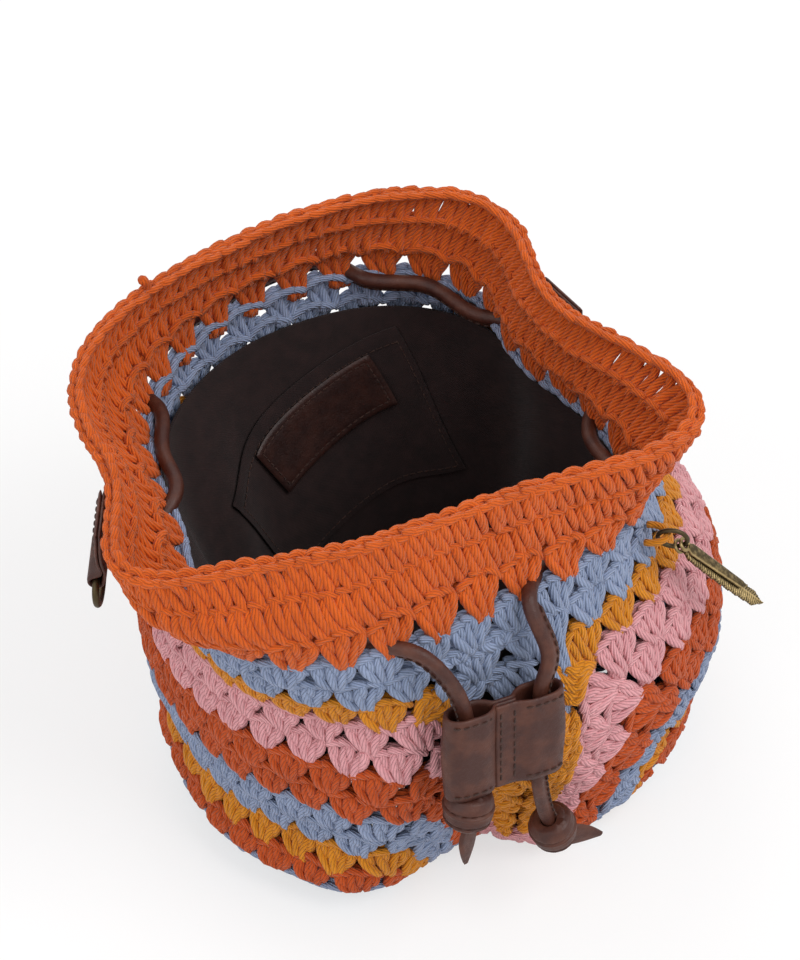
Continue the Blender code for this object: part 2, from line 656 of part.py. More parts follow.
def drawstring_route():
    """Hand-placed points of the drawstring: left end, slider, neck in and out, slider, right end."""
    inside = -(FABRIC / 2 + CORD_DIAMETER / 2 + 2 * CLEAR)
    outside = FABRIC / 2 + 1.5 * CLUSTER_RELIEF + CORD_DIAMETER / 2 + 2 * CLEAR
    left_end = LEFT_KNOT + LEFT_DOWN * KNOT_HEIGHT / 2
    right_end = RIGHT_KNOT + RIGHT_DOWN * KNOT_HEIGHT * 0.5
    top = SLIDER_HEIGHT / 2
    points = [left_end, in_slider(LEFT_X, -top), in_slider(LEFT_X, 0.0), in_slider(LEFT_X - 0.0008, top)]
    points.append(in_slider(LEFT_X - 0.0065, top + 0.0150))
    neck = [
        (-23.0, outside), (-33.0, inside), (-47.0, inside), (-61.0, inside), (-71.0, outside), (-87.0, outside),
        (-97.0, inside), (-110.0, inside), (-123.0, inside), (-133.0, outside), (-150.0, outside),
        (-175.0, outside), (165.0, outside), (155.0, inside), (138.0, inside), (121.0, inside), (111.0, outside),
        (95.0, outside), (79.0, outside), (69.0, inside), (54.0, inside), (38.0, inside), (16.0, inside),
        (6.0, outside),
    ]
    for turn, distance in neck:
        points.append(Vector(off_wall(np.array(turn), np.array(float(NECK_ROUND)), np.array(distance))))
    points.append(in_slider(RIGHT_X + 0.0035, top + 0.0120))
    points += [in_slider(RIGHT_X + 0.0006, top), in_slider(RIGHT_X, 0.0), in_slider(RIGHT_X, -top)]
    points.append(in_slider(RIGHT_X, -top - 0.006))
    points += [RIGHT_KNOT - RIGHT_DOWN * KNOT_HEIGHT * 0.9, RIGHT_KNOT, right_end]
    return smooth_route([tuple(p) for p in points], 0.0118)


def make_tail(name, start, along, across, length, width):
    """Cut a flat pointed leather end."""
    start = Vector(start) + Vector(along).normalized() * CLEAR * 2
    shape = [(0.0, -0.22 * width), (0.30 * length, -0.5 * width), (0.60 * length, -0.40 * width),
             (length, 0.0), (0.60 * length, 0.40 * width), (0.30 * length, 0.5 * width), (0.0, 0.22 * width)]
    return plate(name, [shape], TAIL_THICKNESS, frame_from(start, along, across), LEATHER)


def make_tab(side):
    """Fold a leather strap tab down the outside of the rim, with a loop for its ring; return the loop's frame."""
    turn = TAB_TURNS[side]
    away = FABRIC / 2 + CLUSTER_RELIEF + TAB_GAPS[side] + TAB_LEATHER / 2
    rounds = np.linspace(TAB_TOP_ROUND, TAB_END_ROUND, 5)
    line = off_wall(np.full(5, turn), rounds, away + np.linspace(0.0, TAB_STANDOFF, 5))
    outward = Vector(wall_normal(np.array(turn), np.array(TAB_END_ROUND)))
    outward.z = 0.0
    outward.normalize()
    tangent = Vector((0.0, 0.0, 1.0)).cross(outward)
    origin = Vector(line[-1])
    flat = [((Vector(p) - origin).dot(outward), p[2] - origin.z) for p in line]
    hole = RING_WIRE / 2 + 2 * CLEAR
    loop = hole + TAB_LEATHER * 0.7
    half = TAB_LEATHER / 2
    centre = (loop - half, -loop)
    outline = [(x - half, z) for x, z in flat]
    outline += arc(centre, loop, 180, 405, 10)
    outline += [(x + half, z + 0.3 * half) for x, z in flat[::-1][1:]]
    eye = arc(centre, hole, 0, 330, 12)
    frame = frame_from(origin, outward, (0, 0, 1))
    plate(f"{side}_strap_tab", [outline, eye], TAB_WIDTH, frame, LEATHER)
    axis = origin + outward * centre[0] + Vector((0, 0, centre[1]))
    return axis, tangent, outward


def make_strap_ring(side, axis, tangent):
    """Bend a D-shaped brass ring whose straight bar lies in the tab's loop."""
    half = RING_WIDTH / 2
    corner = 0.0035
    flat = arc((half - corner, -corner), corner, 90, 0, 4)
    flat += arc((0.0, -corner), half, 0, -180, 13)[1:-1]
    flat = [(x, z if z > -corner else -corner + (z + corner) * (RING_DROP - corner) / half) for x, z in flat]
    flat += arc((-half + corner, -corner), corner, 180, 90, 4)
    points = [tuple(tangent * x + Vector((0, 0, z))) for x, z in flat]
    ring = tube(f"{side}_strap_ring", points, RING_WIRE, BRASS, cyclic=True)
    ring.location = axis
    return ring


def make_charms():
    """Hang two brass charms on a small ring, from a yarn loop at the bag's right flank."""
    turn, rounds = np.array(CHARM_TURN), np.array(CHARM_ROUND)
    outward = Vector(wall_normal(turn, rounds))
    tangent = Vector((math.cos(math.radians(CHARM_TURN)), math.sin(math.radians(CHARM_TURN)), 0.0))
    down = Vector((30.0, -14.0, -34.0)).normalized()
    normal = tangent.cross(down).normalized()
    if normal.dot(outward) < 0:
        normal = -normal
    across = down.cross(normal)
    surface = FABRIC / 2 + 1.4 * CLUSTER_RELIEF + CLEAR
    foot = Vector(off_wall(turn, rounds, np.array(surface + CHARM_LOOP_YARN / 2)))
    rise = 0.0062
    loop_half = 0.0036
    loop = [tuple(foot - across * loop_half * math.cos(a) + outward * rise * math.sin(a))
            for a in np.linspace(-CHARM_LOOP_BURIED, math.pi + CHARM_LOOP_BURIED, 11)]
    tube("charm_loop", loop, CHARM_LOOP_YARN, MUSTARD)
    bar = foot + outward * rise
    hang = CHARM_RING_RADIUS - CHARM_RING_WIRE / 2 - CHARM_LOOP_YARN / 2 - CLEAR
    middle = bar + down * hang
    ring_points = [tuple(down * (hang + CHARM_RING_RADIUS * math.cos(a)) + normal * CHARM_RING_RADIUS * math.sin(a))
                   for a in np.linspace(0, math.tau, 18, endpoint=False)]
    ring = tube("charm_ring", ring_points, CHARM_RING_WIRE, BRASS, cyclic=True)
    ring.location = bar
    eye = CHARM_RING_WIRE / 2 + 2 * CLEAR
    shift = CHARM_THICKNESS / 2 + CLEAR
    drop = math.sqrt(CHARM_RING_RADIUS**2 - shift**2)
    half = FEATHER_WIDTH / 2
    edge = []
    for i in range(FEATHER_BARBS):
        x = 0.0040 + (FEATHER_LENGTH - 0.006) * i / FEATHER_BARBS
        swell = half * (0.72 + 0.28 * math.sin(math.pi * (i + 1) / (FEATHER_BARBS + 1)))
        edge += [(x, swell * 0.78), (x + 0.0026, swell)]
    feather = arc((0.0, 0.0), 0.0026, 140, 220, 5) + [(x, -y) for x, y in edge]
    feather += [(FEATHER_LENGTH - 0.002, 0.0)] + edge[::-1]
    frame = frame_from(middle + down * drop - normal * shift, down, across)
    plate("feather_charm", [feather, arc((0.0, 0.0), eye, 0, 330, 12)], CHARM_THICKNESS, frame, BRASS)
    half = BAR_WIDTH / 2
    bar_shape = arc((0.0, 0.0), half, 90, 270, 7) + arc((BAR_LENGTH, 0.0), half * 0.6, -90, 90, 7)
    frame = frame_from(middle + down * drop + normal * shift, down, across)
    plate("plain_charm", [bar_shape, arc((0.0, 0.0), eye, 0, 330, 12)], CHARM_THICKNESS, frame, BRASS)


def make_yarn_end():
    """Stand a short cut end of yarn on the rim."""
    rim = Vector(wall(np.array(YARN_END_TURN), np.array(float(ROUNDS))))
    start = rim + Vector((0.0, 0.0, CLEAR + 0.0004))
    points = [start, start + Vector((-0.0004, 0.0, 0.0022)), start + Vector((-0.0014, 0.0002, 0.0042))]
    tube("rim_yarn_end", [tuple(p) for p in points], YARN, ORANGE)


def main():
    """Build every piece of the bag."""
    clear_scene()
    crochet_base()
    for name, first, last, finish in BANDS:
        crochet_band(name, first, last, finish)
    make_yarn_end()
    make_lining()
    face = LINING / 2 + SHEET_GAP
    lining_patch("lining_pocket", POCKET_WIDTH, POCKET_DEPTH, (11, 7), face, face + POCKET_SHEET, PLUM, (0.004, -0.012))
    face += POCKET_SHEET + SHEET_GAP
    lining_patch("label_patch", LABEL_WIDTH, LABEL_HEIGHT, (9, 5), face, face + LABEL_THICKNESS, LEATHER)
    tube("drawstring", drawstring_route(), CORD_DIAMETER, LEATHER)
    make_slider()
    make_knot("left_knot", LEFT_KNOT, LEFT_DOWN, KNOT_RADIUS, KNOT_HEIGHT)
    make_knot("right_knot", RIGHT_KNOT, RIGHT_DOWN, KNOT_RADIUS * 0.93, KNOT_HEIGHT)
    make_tail("left_tail", LEFT_KNOT + LEFT_DOWN * KNOT_HEIGHT / 2, LEFT_DOWN, (1, 0.5, 0), TAIL_LENGTH, TAIL_WIDTH)
    leaf_root = RIGHT_KNOT + RIGHT_DOWN * (KNOT_HEIGHT / 2 + 0.19 * LEAF_WIDTH)
    make_tail("right_tail", leaf_root, (0.93, 0.0, -0.36), (0.36, 0.0, 0.93), LEAF_LENGTH, LEAF_WIDTH)
    for side in TAB_TURNS:
        axis, tangent, _ = make_tab(side)
        make_strap_ring(side, axis, tangent)
    make_charms()


main()
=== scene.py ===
"""Crocheted drawstring bag, dressed for the studio.

The wall is worked stitch by stitch in thick cotton yarn over the bag's own form. A dark cotton lining hangs
inside. A stitched leather drawstring goes in and out round the neck and through a leather slider. Two leather
tabs carry brass rings, and a pair of antique brass charms hangs at the right flank. Metres, +Z up, front
towards -Y.
"""
import logging
import math
from dataclasses import dataclass
from enum import Enum

import bmesh
import bpy
import numpy as np
from mathutils import Matrix, Vector


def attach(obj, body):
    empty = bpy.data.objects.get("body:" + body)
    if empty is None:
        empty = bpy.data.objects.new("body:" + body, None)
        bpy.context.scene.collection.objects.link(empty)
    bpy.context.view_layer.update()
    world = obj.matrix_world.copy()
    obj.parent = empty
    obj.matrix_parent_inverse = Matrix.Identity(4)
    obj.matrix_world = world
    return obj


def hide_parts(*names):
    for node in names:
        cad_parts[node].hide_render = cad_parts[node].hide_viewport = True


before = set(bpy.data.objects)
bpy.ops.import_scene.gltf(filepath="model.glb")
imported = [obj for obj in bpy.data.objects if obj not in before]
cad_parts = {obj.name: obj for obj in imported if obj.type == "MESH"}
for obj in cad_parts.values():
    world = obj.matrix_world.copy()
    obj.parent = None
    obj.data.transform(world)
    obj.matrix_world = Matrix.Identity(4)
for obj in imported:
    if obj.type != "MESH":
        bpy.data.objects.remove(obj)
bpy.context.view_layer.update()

Array = np.ndarray
TAU = math.tau
MM = 0.001
REPORT = logging.getLogger("bag")


# Finishes

def linear(colour: str) -> tuple[float, float, float, float]:
    """Turn an sRGB hex colour into linear RGBA: each channel c is c / 12.92 or ((c + 0.055) / 1.055) ** 2.4.

    Args:
        colour: Six hex digits.

    Returns:
        Linear red, green, blue and an alpha of 1.
    """
    parts = [int(colour[i:i + 2], 16) / 255 for i in (0, 2, 4)]
    red, green, blue = (c / 12.92 if c <= 0.04045 else ((c + 0.055) / 1.055) ** 2.4 for c in parts)
    return red, green, blue, 1.0


def add_node(tree: bpy.types.NodeTree, kind: str, links: dict | None = None, **settings) -> bpy.types.Node:
    """Add a shader node.

    Args:
        tree: The material's node tree.
        kind: The node's type name without its "ShaderNode" start.
        links: Input names or numbers, each with a socket to link or a value to set.
        settings: Properties of the node itself.

    Returns:
        The new node.
    """
    made = tree.nodes.new("ShaderNode" + kind)
    for key, value in settings.items():
        setattr(made, key, value)
    for key, value in (links or {}).items():
        if isinstance(value, bpy.types.NodeSocket):
            tree.links.new(value, made.inputs[key])
        else:
            made.inputs[key].default_value = value
    return made


def new_material(name: str, **values) -> tuple[bpy.types.NodeTree, bpy.types.Node]:
    """Start a Principled material.

    Args:
        name: The material's name.
        values: Values for the shader's own sockets, their names with underscores for spaces.

    Returns:
        The node tree and its Principled shader.
    """
    material = bpy.data.materials.new(name)
    material.use_nodes = True
    shader = material.node_tree.nodes["Principled BSDF"]
    for key, value in values.items():
        shader.inputs[key.replace("_", " ")].default_value = value
    return material.node_tree, shader


@dataclass(frozen=True)
class CottonYarn:
    """Soft plied cotton knitting yarn: matt, with a pale fuzz on its rims and fine slanting plies."""

    name: str
    colour: str
    # shade: darker colour, for the dye's darker patches and for the painted shade between the plies
    shade: str
    plies: float = 8.0
    ply_lay: float = 22 * MM        # length of yarn in which one ply goes once round it
    fibre: float = 0.35 * MM        # drawn coarser than a cotton fibre, so that it shows
    patch: float = 9 * MM           # size of the dye's lighter and darker places

    def make(self) -> bpy.types.Material:
        """Build the yarn's material on the strand's own UV: metres along it and turns round it.

        Returns:
            The material.
        """
        tree, shader = new_material(self.name, Roughness=0.86, Sheen_Weight=0.14, Sheen_Roughness=0.45,
                                    Sheen_Tint=linear("FFF4E8"), Specular_IOR_Level=0.25)
        place = add_node(tree, "UVMap", uv_map="surface")
        parts = add_node(tree, "SeparateXYZ", {"Vector": place.outputs["UV"]})
        lay = add_node(tree, "Math", {0: parts.outputs["X"], 1: self.plies / self.ply_lay},
                       operation="MULTIPLY")
        around = add_node(tree, "Math", {0: parts.outputs["Y"], 1: self.plies}, operation="MULTIPLY")
        turn = add_node(tree, "Math", {0: lay.outputs[0], 1: around.outputs[0]}, operation="ADD")
        ply = add_node(tree, "Math", {0: turn.outputs[0], 1: 0.5}, operation="PINGPONG")
        swell = add_node(tree, "Math", {0: ply.outputs[0], 1: 2.0}, operation="MULTIPLY")
        crown = add_node(tree, "Math", {0: swell.outputs[0], 1: 0.6}, operation="POWER")
        fibres = add_node(tree, "CombineXYZ", {"X": parts.outputs["X"], "Y": turn.outputs[0]})
        stretch = add_node(tree, "Mapping", {"Vector": fibres.outputs[0],
                                             "Scale": (0.16 / self.fibre, 3.4, 1.0)})
        hair = add_node(tree, "TexNoise", {"Vector": stretch.outputs[0], "Scale": 1.0, "Detail": 3.0,
                                           "Roughness": 0.65}, noise_dimensions="2D")
        where = add_node(tree, "TexCoord")
        patchy = add_node(tree, "TexNoise", {"Vector": where.outputs["Object"], "Scale": 1 / self.patch,
                                             "Detail": 2.0})
        mottle = add_node(tree, "MapRange", {"Value": patchy.outputs["Fac"], "From Min": 0.3, "From Max": 0.7,
                                             "To Min": 0.0, "To Max": 0.30})
        # painted shade: the valleys between the plies are darkened towards the shade colour, by up to 0.62
        painted_ply_shade = add_node(tree, "MapRange", {"Value": crown.outputs[0], "From Min": 0.0, "From Max": 0.6,
                                             "To Min": 0.62, "To Max": 0.0})
        # darkening: the dye's random patches plus the painted shade between the plies
        dark = add_node(tree, "Math", {0: mottle.outputs[0], 1: painted_ply_shade.outputs[0]}, operation="ADD",
                        use_clamp=True)
        base = add_node(tree, "Mix", {"Factor": dark.outputs[0], "A": linear(self.colour),
                                      "B": linear(self.shade)}, data_type="RGBA")
        pale = add_node(tree, "MapRange", {"Value": hair.outputs["Fac"], "From Min": 0.52, "From Max": 0.80,
                                           "To Min": 0.0, "To Max": 0.16})
        fuzz = add_node(tree, "Mix", {"Factor": pale.outputs[0], "A": base.outputs["Result"],
                                      "B": (1.0, 0.95, 0.90, 1.0)}, data_type="RGBA", blend_type="SOFT_LIGHT")
        tree.links.new(fuzz.outputs["Result"], shader.inputs["Base Color"])
        height = add_node(tree, "Math", {0: hair.outputs["Fac"], 1: 0.35, 2: crown.outputs[0]},
                          operation="MULTIPLY_ADD")
        relief = add_node(tree, "Bump", {"Height": height.outputs[0], "Strength": 1.0, "Distance": 0.5 * MM})
        tree.links.new(relief.outputs["Normal"], shader.inputs["Normal"])
        return bpy.data.materials[self.name]


@dataclass(frozen=True)
class WovenCotton:
    """Plain woven cotton lining: dark and matt, with a fine thread grid and a slight sheen on its folds."""

    name: str
    colour: str
    shade: str
    thread: float = 0.45 * MM       # drawn a little coarser than lining threads, so that it shows
    slub: float = 6 * MM            # length of a thicker place in the threads

    def make(self) -> bpy.types.Material:
        """Build the woven material on the sheet's UV in metres.

        Returns:
            The material.
        """
        tree, shader = new_material(self.name, Roughness=0.82, Sheen_Weight=0.08, Sheen_Roughness=0.5,
                                    Specular_IOR_Level=0.3)
        place = add_node(tree, "UVMap", uv_map="surface")
        parts = add_node(tree, "SeparateXYZ", {"Vector": place.outputs["UV"]})
        warp = add_node(tree, "Math", {0: parts.outputs["X"], 1: math.pi / self.thread}, operation="MULTIPLY")
        weft = add_node(tree, "Math", {0: parts.outputs["Y"], 1: math.pi / self.thread}, operation="MULTIPLY")
        across = add_node(tree, "Math", {0: warp.outputs[0]}, operation="SINE")
        along = add_node(tree, "Math", {0: weft.outputs[0]}, operation="SINE")
        weave = add_node(tree, "Math", {0: across.outputs[0], 1: along.outputs[0]}, operation="MULTIPLY")
        where = add_node(tree, "TexCoord")
        slub = add_node(tree, "TexNoise", {"Vector": where.outputs["Object"], "Scale": 1 / self.slub,
                                           "Detail": 4.0})
        tone = add_node(tree, "MapRange", {"Value": slub.outputs["Fac"], "From Min": 0.3, "From Max": 0.7})
        base = add_node(tree, "Mix", {"Factor": tone.outputs[0], "A": linear(self.colour),
                                      "B": linear(self.shade)}, data_type="RGBA")
        tree.links.new(base.outputs["Result"], shader.inputs["Base Color"])
        height = add_node(tree, "Math", {0: slub.outputs["Fac"], 1: 1.2, 2: weave.outputs[0]},
                          operation="MULTIPLY_ADD")
        relief = add_node(tree, "Bump", {"Height": height.outputs[0], "Strength": 0.5, "Distance": 0.12 * MM})
        tree.links.new(relief.outputs["Normal"], shader.inputs["Normal"])
        return bpy.data.materials[self.name]


@dataclass(frozen=True)
class BrownLeather:
    """Dark brown split leather, pressed and waxed: pebbled grain, soft highlights, reddish where worn."""

    name: str
    colour: str
    worn: str
    roughness: float = 0.50
    grain: float = 0.55 * MM
    crease: float = 2.2 * MM        # distance between the fine pressed creases
    cloud: float = 7 * MM           # size of the rubbed places

    def make(self) -> bpy.types.Material:
        """Build the leather's material on Object coordinates.

        Returns:
            The material.
        """
        tree, shader = new_material(self.name, Specular_IOR_Level=0.36, Coat_Weight=0.03, Coat_Roughness=0.35)
        where = add_node(tree, "TexCoord")
        pebbles = add_node(tree, "TexVoronoi", {"Vector": where.outputs["Object"], "Scale": 1 / self.grain},
                           feature="SMOOTH_F1")
        creases = add_node(tree, "TexNoise", {"Vector": where.outputs["Object"], "Scale": 1 / self.crease,
                                              "Detail": 6.0, "Roughness": 0.6, "Distortion": 1.2})
        clouds = add_node(tree, "TexNoise", {"Vector": where.outputs["Object"], "Scale": 1 / self.cloud,
                                             "Detail": 3.0})
        tone = add_node(tree, "MapRange", {"Value": clouds.outputs["Fac"], "From Min": 0.40,
                                           "From Max": 0.72})
        base = add_node(tree, "Mix", {"Factor": tone.outputs[0], "A": linear(self.colour),
                                      "B": linear(self.worn)}, data_type="RGBA")
        tree.links.new(base.outputs["Result"], shader.inputs["Base Color"])
        gloss = add_node(tree, "MapRange", {"Value": creases.outputs["Fac"], "From Min": 0.3, "From Max": 0.7,
                                            "To Min": self.roughness - 0.08, "To Max": self.roughness + 0.14})
        tree.links.new(gloss.outputs[0], shader.inputs["Roughness"])
        height = add_node(tree, "Math", {0: creases.outputs["Fac"], 1: 1.6, 2: pebbles.outputs["Distance"]},
                          operation="MULTIPLY_ADD")
        relief = add_node(tree, "Bump", {"Height": height.outputs[0], "Strength": 0.55,
                                         "Distance": 0.16 * MM})
        tree.links.new(relief.outputs["Normal"], shader.inputs["Normal"])
        return bpy.data.materials[self.name]


@dataclass(frozen=True)
class AntiqueBrass:
    """Cast brass with a dark patina: brownish in its hollows, with bare pale metal where it is rubbed."""

    name: str
    patina: str
    bare: str
    spot: float = 1.8 * MM          # size of the spots in the patina

    def make(self) -> bpy.types.Material:
        """Build the brass, whose rubbed places come from the mesh's "worn" attribute.

        Returns:
            The material.
        """
        tree, shader = new_material(self.name, Metallic=1.0)
        worn = add_node(tree, "Attribute", attribute_name="worn")
        where = add_node(tree, "TexCoord")
        spots = add_node(tree, "TexNoise", {"Vector": where.outputs["Object"], "Scale": 1 / self.spot,
                                            "Detail": 5.0, "Roughness": 0.65})
        rubbed = add_node(tree, "Math", {0: spots.outputs["Fac"], 1: 0.9, 2: worn.outputs["Fac"]},
                          operation="MULTIPLY_ADD")
        tone = add_node(tree, "MapRange", {"Value": rubbed.outputs[0], "From Min": 0.55, "From Max": 1.15})
        base = add_node(tree, "Mix", {"Factor": tone.outputs[0], "A": linear(self.patina),
                                      "B": linear(self.bare)}, data_type="RGBA")
        tree.links.new(base.outputs["Result"], shader.inputs["Base Color"])
        gloss = add_node(tree, "MapRange", {"Value": tone.outputs[0], "To Min": 0.52, "To Max": 0.27})
        tree.links.new(gloss.outputs[0], shader.inputs["Roughness"])
        relief = add_node(tree, "Bump", {"Height": spots.outputs["Fac"], "Strength": 0.4,
                                         "Distance": 0.12 * MM})
        tree.links.new(relief.outputs["Normal"], shader.inputs["Normal"])
        return bpy.data.materials[self.name]


class Finish(Enum):
    """The bag's finishes."""

    ORANGE = CottonYarn("orange_cotton_yarn", "DC611A", "A8420C")
    # painted shade: the orange yarn again with darker colours, for the bands where it lies in shade
    RUST = CottonYarn("rust_cotton_yarn", "C9521A", "90340A")
    BLUE = CottonYarn("periwinkle_cotton_yarn", "96A4C2", "5F6E8C")
    MUSTARD = CottonYarn("mustard_cotton_yarn", "DE8C1C", "A45C0C")
    PINK = CottonYarn("pink_cotton_yarn", "EAA9AE", "B56F78")
    LINING = WovenCotton("plum_woven_cotton", "2B1B1A", "1D1111")
    LEATHER = BrownLeather("brown_leather", "3C1C14", "562F21")
    LABEL = BrownLeather("label_leather", "281512", "3A201A", roughness=0.48)
    THREAD = WovenCotton("brown_waxed_thread", "4A3128", "33201B", thread=0.3 * MM)
    BRASS = AntiqueBrass("antique_brass", "4E4330", "C8AE7A")

    def material(self) -> bpy.types.Material:
        """Return the finish's material, made once."""
        return bpy.data.materials.get(self.value.name) or self.value.make()


# Surfaces

def unit(vectors: Array) -> Array:
    """Divide vectors by their lengths."""
    return vectors / np.maximum(np.linalg.norm(vectors, axis=-1, keepdims=True), 1e-12)


def smooth_step(x: Array, low: float, high: float) -> Array:
    """Rise from 0 at low to 1 at high as 3 t^2 - 2 t^3."""
    t = np.clip((x - low) / (high - low), 0.0, 1.0)
    return t * t * (3 - 2 * t)


def bell(degrees: Array, centre: float, width: float) -> Array:
    """Fall from 1 at centre as exp(-(away / width)^2), with away the shorter way round the circle."""
    away = (degrees - centre + 180.0) % 360.0 - 180.0
    return np.exp(-(away / width) ** 2)


def through(x: Array, stations: Array, values: Array) -> Array:
    """Read the cubic Hermite curve through values, with slopes from their neighbours.

    Args:
        x: Where the curve is read.
        stations: Rising places of the values.
        values: The values.

    Returns:
        The curve's value at each x.
    """
    slopes = np.gradient(values, stations)
    i = np.clip(np.searchsorted(stations, x) - 1, 0, len(stations) - 2)
    span = stations[i + 1] - stations[i]
    t = (x - stations[i]) / span
    ends = (2 * t**3 - 3 * t**2 + 1) * values[i] + (3 * t**2 - 2 * t**3) * values[i + 1]
    return ends + span * ((t**3 - 2 * t**2 + t) * slopes[i] + (t**3 - t**2) * slopes[i + 1])


def smooth_path(points: Array, spacing: float) -> Array:
    """Read a curve at equal steps of its length: a Hermite curve over the roots of its points' distances.

    Args:
        points: The route's points, in order.
        spacing: Wanted distance between the returned points.

    Returns:
        Points along the curve.
    """
    steps = np.linalg.norm(np.diff(points, axis=0), axis=1)
    along = np.concatenate([[0.0], np.cumsum(np.sqrt(steps))])
    fine = np.linspace(0, along[-1], 4000)
    axes = range(points.shape[1])
    dense = np.stack([through(fine, along, points[:, k]) for k in axes], axis=-1)
    length = np.concatenate([[0.0], np.cumsum(np.linalg.norm(np.diff(dense, axis=0), axis=1))])
    stops = np.linspace(0, length[-1], int(round(length[-1] / spacing)) + 1)
    return np.stack([np.interp(stops, length, dense[:, k]) for k in axes], axis=-1)


@dataclass
class Block:
    """Part of a mesh: points, polygons of one size, their UV places and a value for each point."""

    points: Array
    faces: Array
    places: Array
    worn: Array | None = None


def grid_block(points: Array, places: Array, around: bool = False, flip: bool = False,
               worn: Array | None = None) -> Block:
    """Make a block of quads from a grid of points.

    Args:
        points: Rows and columns of points.
        places: UV places of the same grid. With around, one column more than the points.
        around: Whether the last column joins the first.
        flip: Whether to turn the faces the other way.
        worn: Rubbed share of each point.

    Returns:
        The block.
    """
    rows, columns = points.shape[:2]
    strips = columns if around else columns - 1
    row, column = np.meshgrid(np.arange(rows - 1), np.arange(strips), indexing="ij")
    after = (column + 1) % columns
    corners = [(row, column, column), (row, after, column + 1),
               (row + 1, after, column + 1), (row + 1, column, column)]
    if flip:
        corners = corners[::-1]
    faces = np.stack([(r * columns + c).ravel() for r, c, _ in corners], axis=-1)
    uv = np.stack([places[r, p].reshape(-1, 2) for r, _, p in corners], axis=1)
    flat = None if worn is None else worn.reshape(-1)
    return Block(points.reshape(-1, 3), faces, uv, flat)


def cap_block(loops: Array, total: int) -> Block:
    """Close loops of the block before with flat faces.

    Args:
        loops: Point numbers round each face.
        total: Number of points in the block before.

    Returns:
        A block of faces without points of its own.
    """
    return Block(np.zeros((0, 3)), loops - total, np.zeros((*loops.shape, 2)))


def strand_blocks(paths: Array, radius: Array | float, guide: Array, sides: int = 6, closed: bool = False,
                  section: Array | None = None) -> list[Block]:
    """Carry a circle along each path.

    A ring's points are path + radius (cos w * across + sin w * lift), where across is tangent x guide and
    lift is across x tangent. The places run in metres along the strand and in turns round it.

    Args:
        paths: Strands, points and coordinates.
        radius: One radius, or one for each point.
        guide: Direction for each point that the strand doesn't run along, such as the fabric's normal.
        sides: Points in a ring.
        closed: Whether each strand's end joins its start; otherwise flat caps close it.
        section: Points of another closed section instead of the circle, across and lift as shares of the
            radius.

    Returns:
        The blocks of the tubes and of their caps.
    """
    count, stations = paths.shape[:2]
    if closed:
        tangent = unit(np.roll(paths, -1, axis=1) - np.roll(paths, 1, axis=1))
    else:
        tangent = unit(np.gradient(paths, axis=1))
    across = unit(np.cross(tangent, guide))
    lift = np.cross(across, tangent)
    if section is None:
        angle = TAU * np.arange(sides) / sides
        section = np.stack([np.cos(angle), np.sin(angle)], axis=-1)
    sides = len(section)
    reach = np.broadcast_to(np.asarray(radius, float), (count, stations))[:, :, None, None]
    spokes = section[:, :1] * across[:, :, None] + section[:, 1:] * lift[:, :, None]
    rings = paths[:, :, None] + reach * spokes
    loop = np.concatenate([paths, paths[:, :1]], axis=1) if closed else paths
    steps = np.linalg.norm(np.diff(loop, axis=1), axis=-1)
    length = np.concatenate([np.zeros((count, 1)), np.cumsum(steps, axis=1)], axis=1)
    spans = stations if closed else stations - 1
    strand, i, k = np.meshgrid(np.arange(count), np.arange(spans), np.arange(sides), indexing="ij")
    onward = (i + 1) % stations
    corners = [(i, k, i, k), (onward, k, i + 1, k), (onward, (k + 1) % sides, i + 1, k + 1),
               (i, (k + 1) % sides, i, k + 1)]
    faces = np.stack([(strand * stations * sides + a * sides + b).ravel() for a, b, _, _ in corners], axis=-1)
    uv = np.stack([np.stack([length[strand, u], v / sides], axis=-1).reshape(-1, 2)
                   for _, _, u, v in corners], axis=1)
    blocks = [Block(rings.reshape(-1, 3), faces, uv)]
    if not closed:
        start = np.arange(count)[:, None] * stations * sides + np.arange(sides)[None]
        end = start + (stations - 1) * sides
        blocks.append(cap_block(np.concatenate([start, end[:, ::-1]]), count * stations * sides))
    return blocks


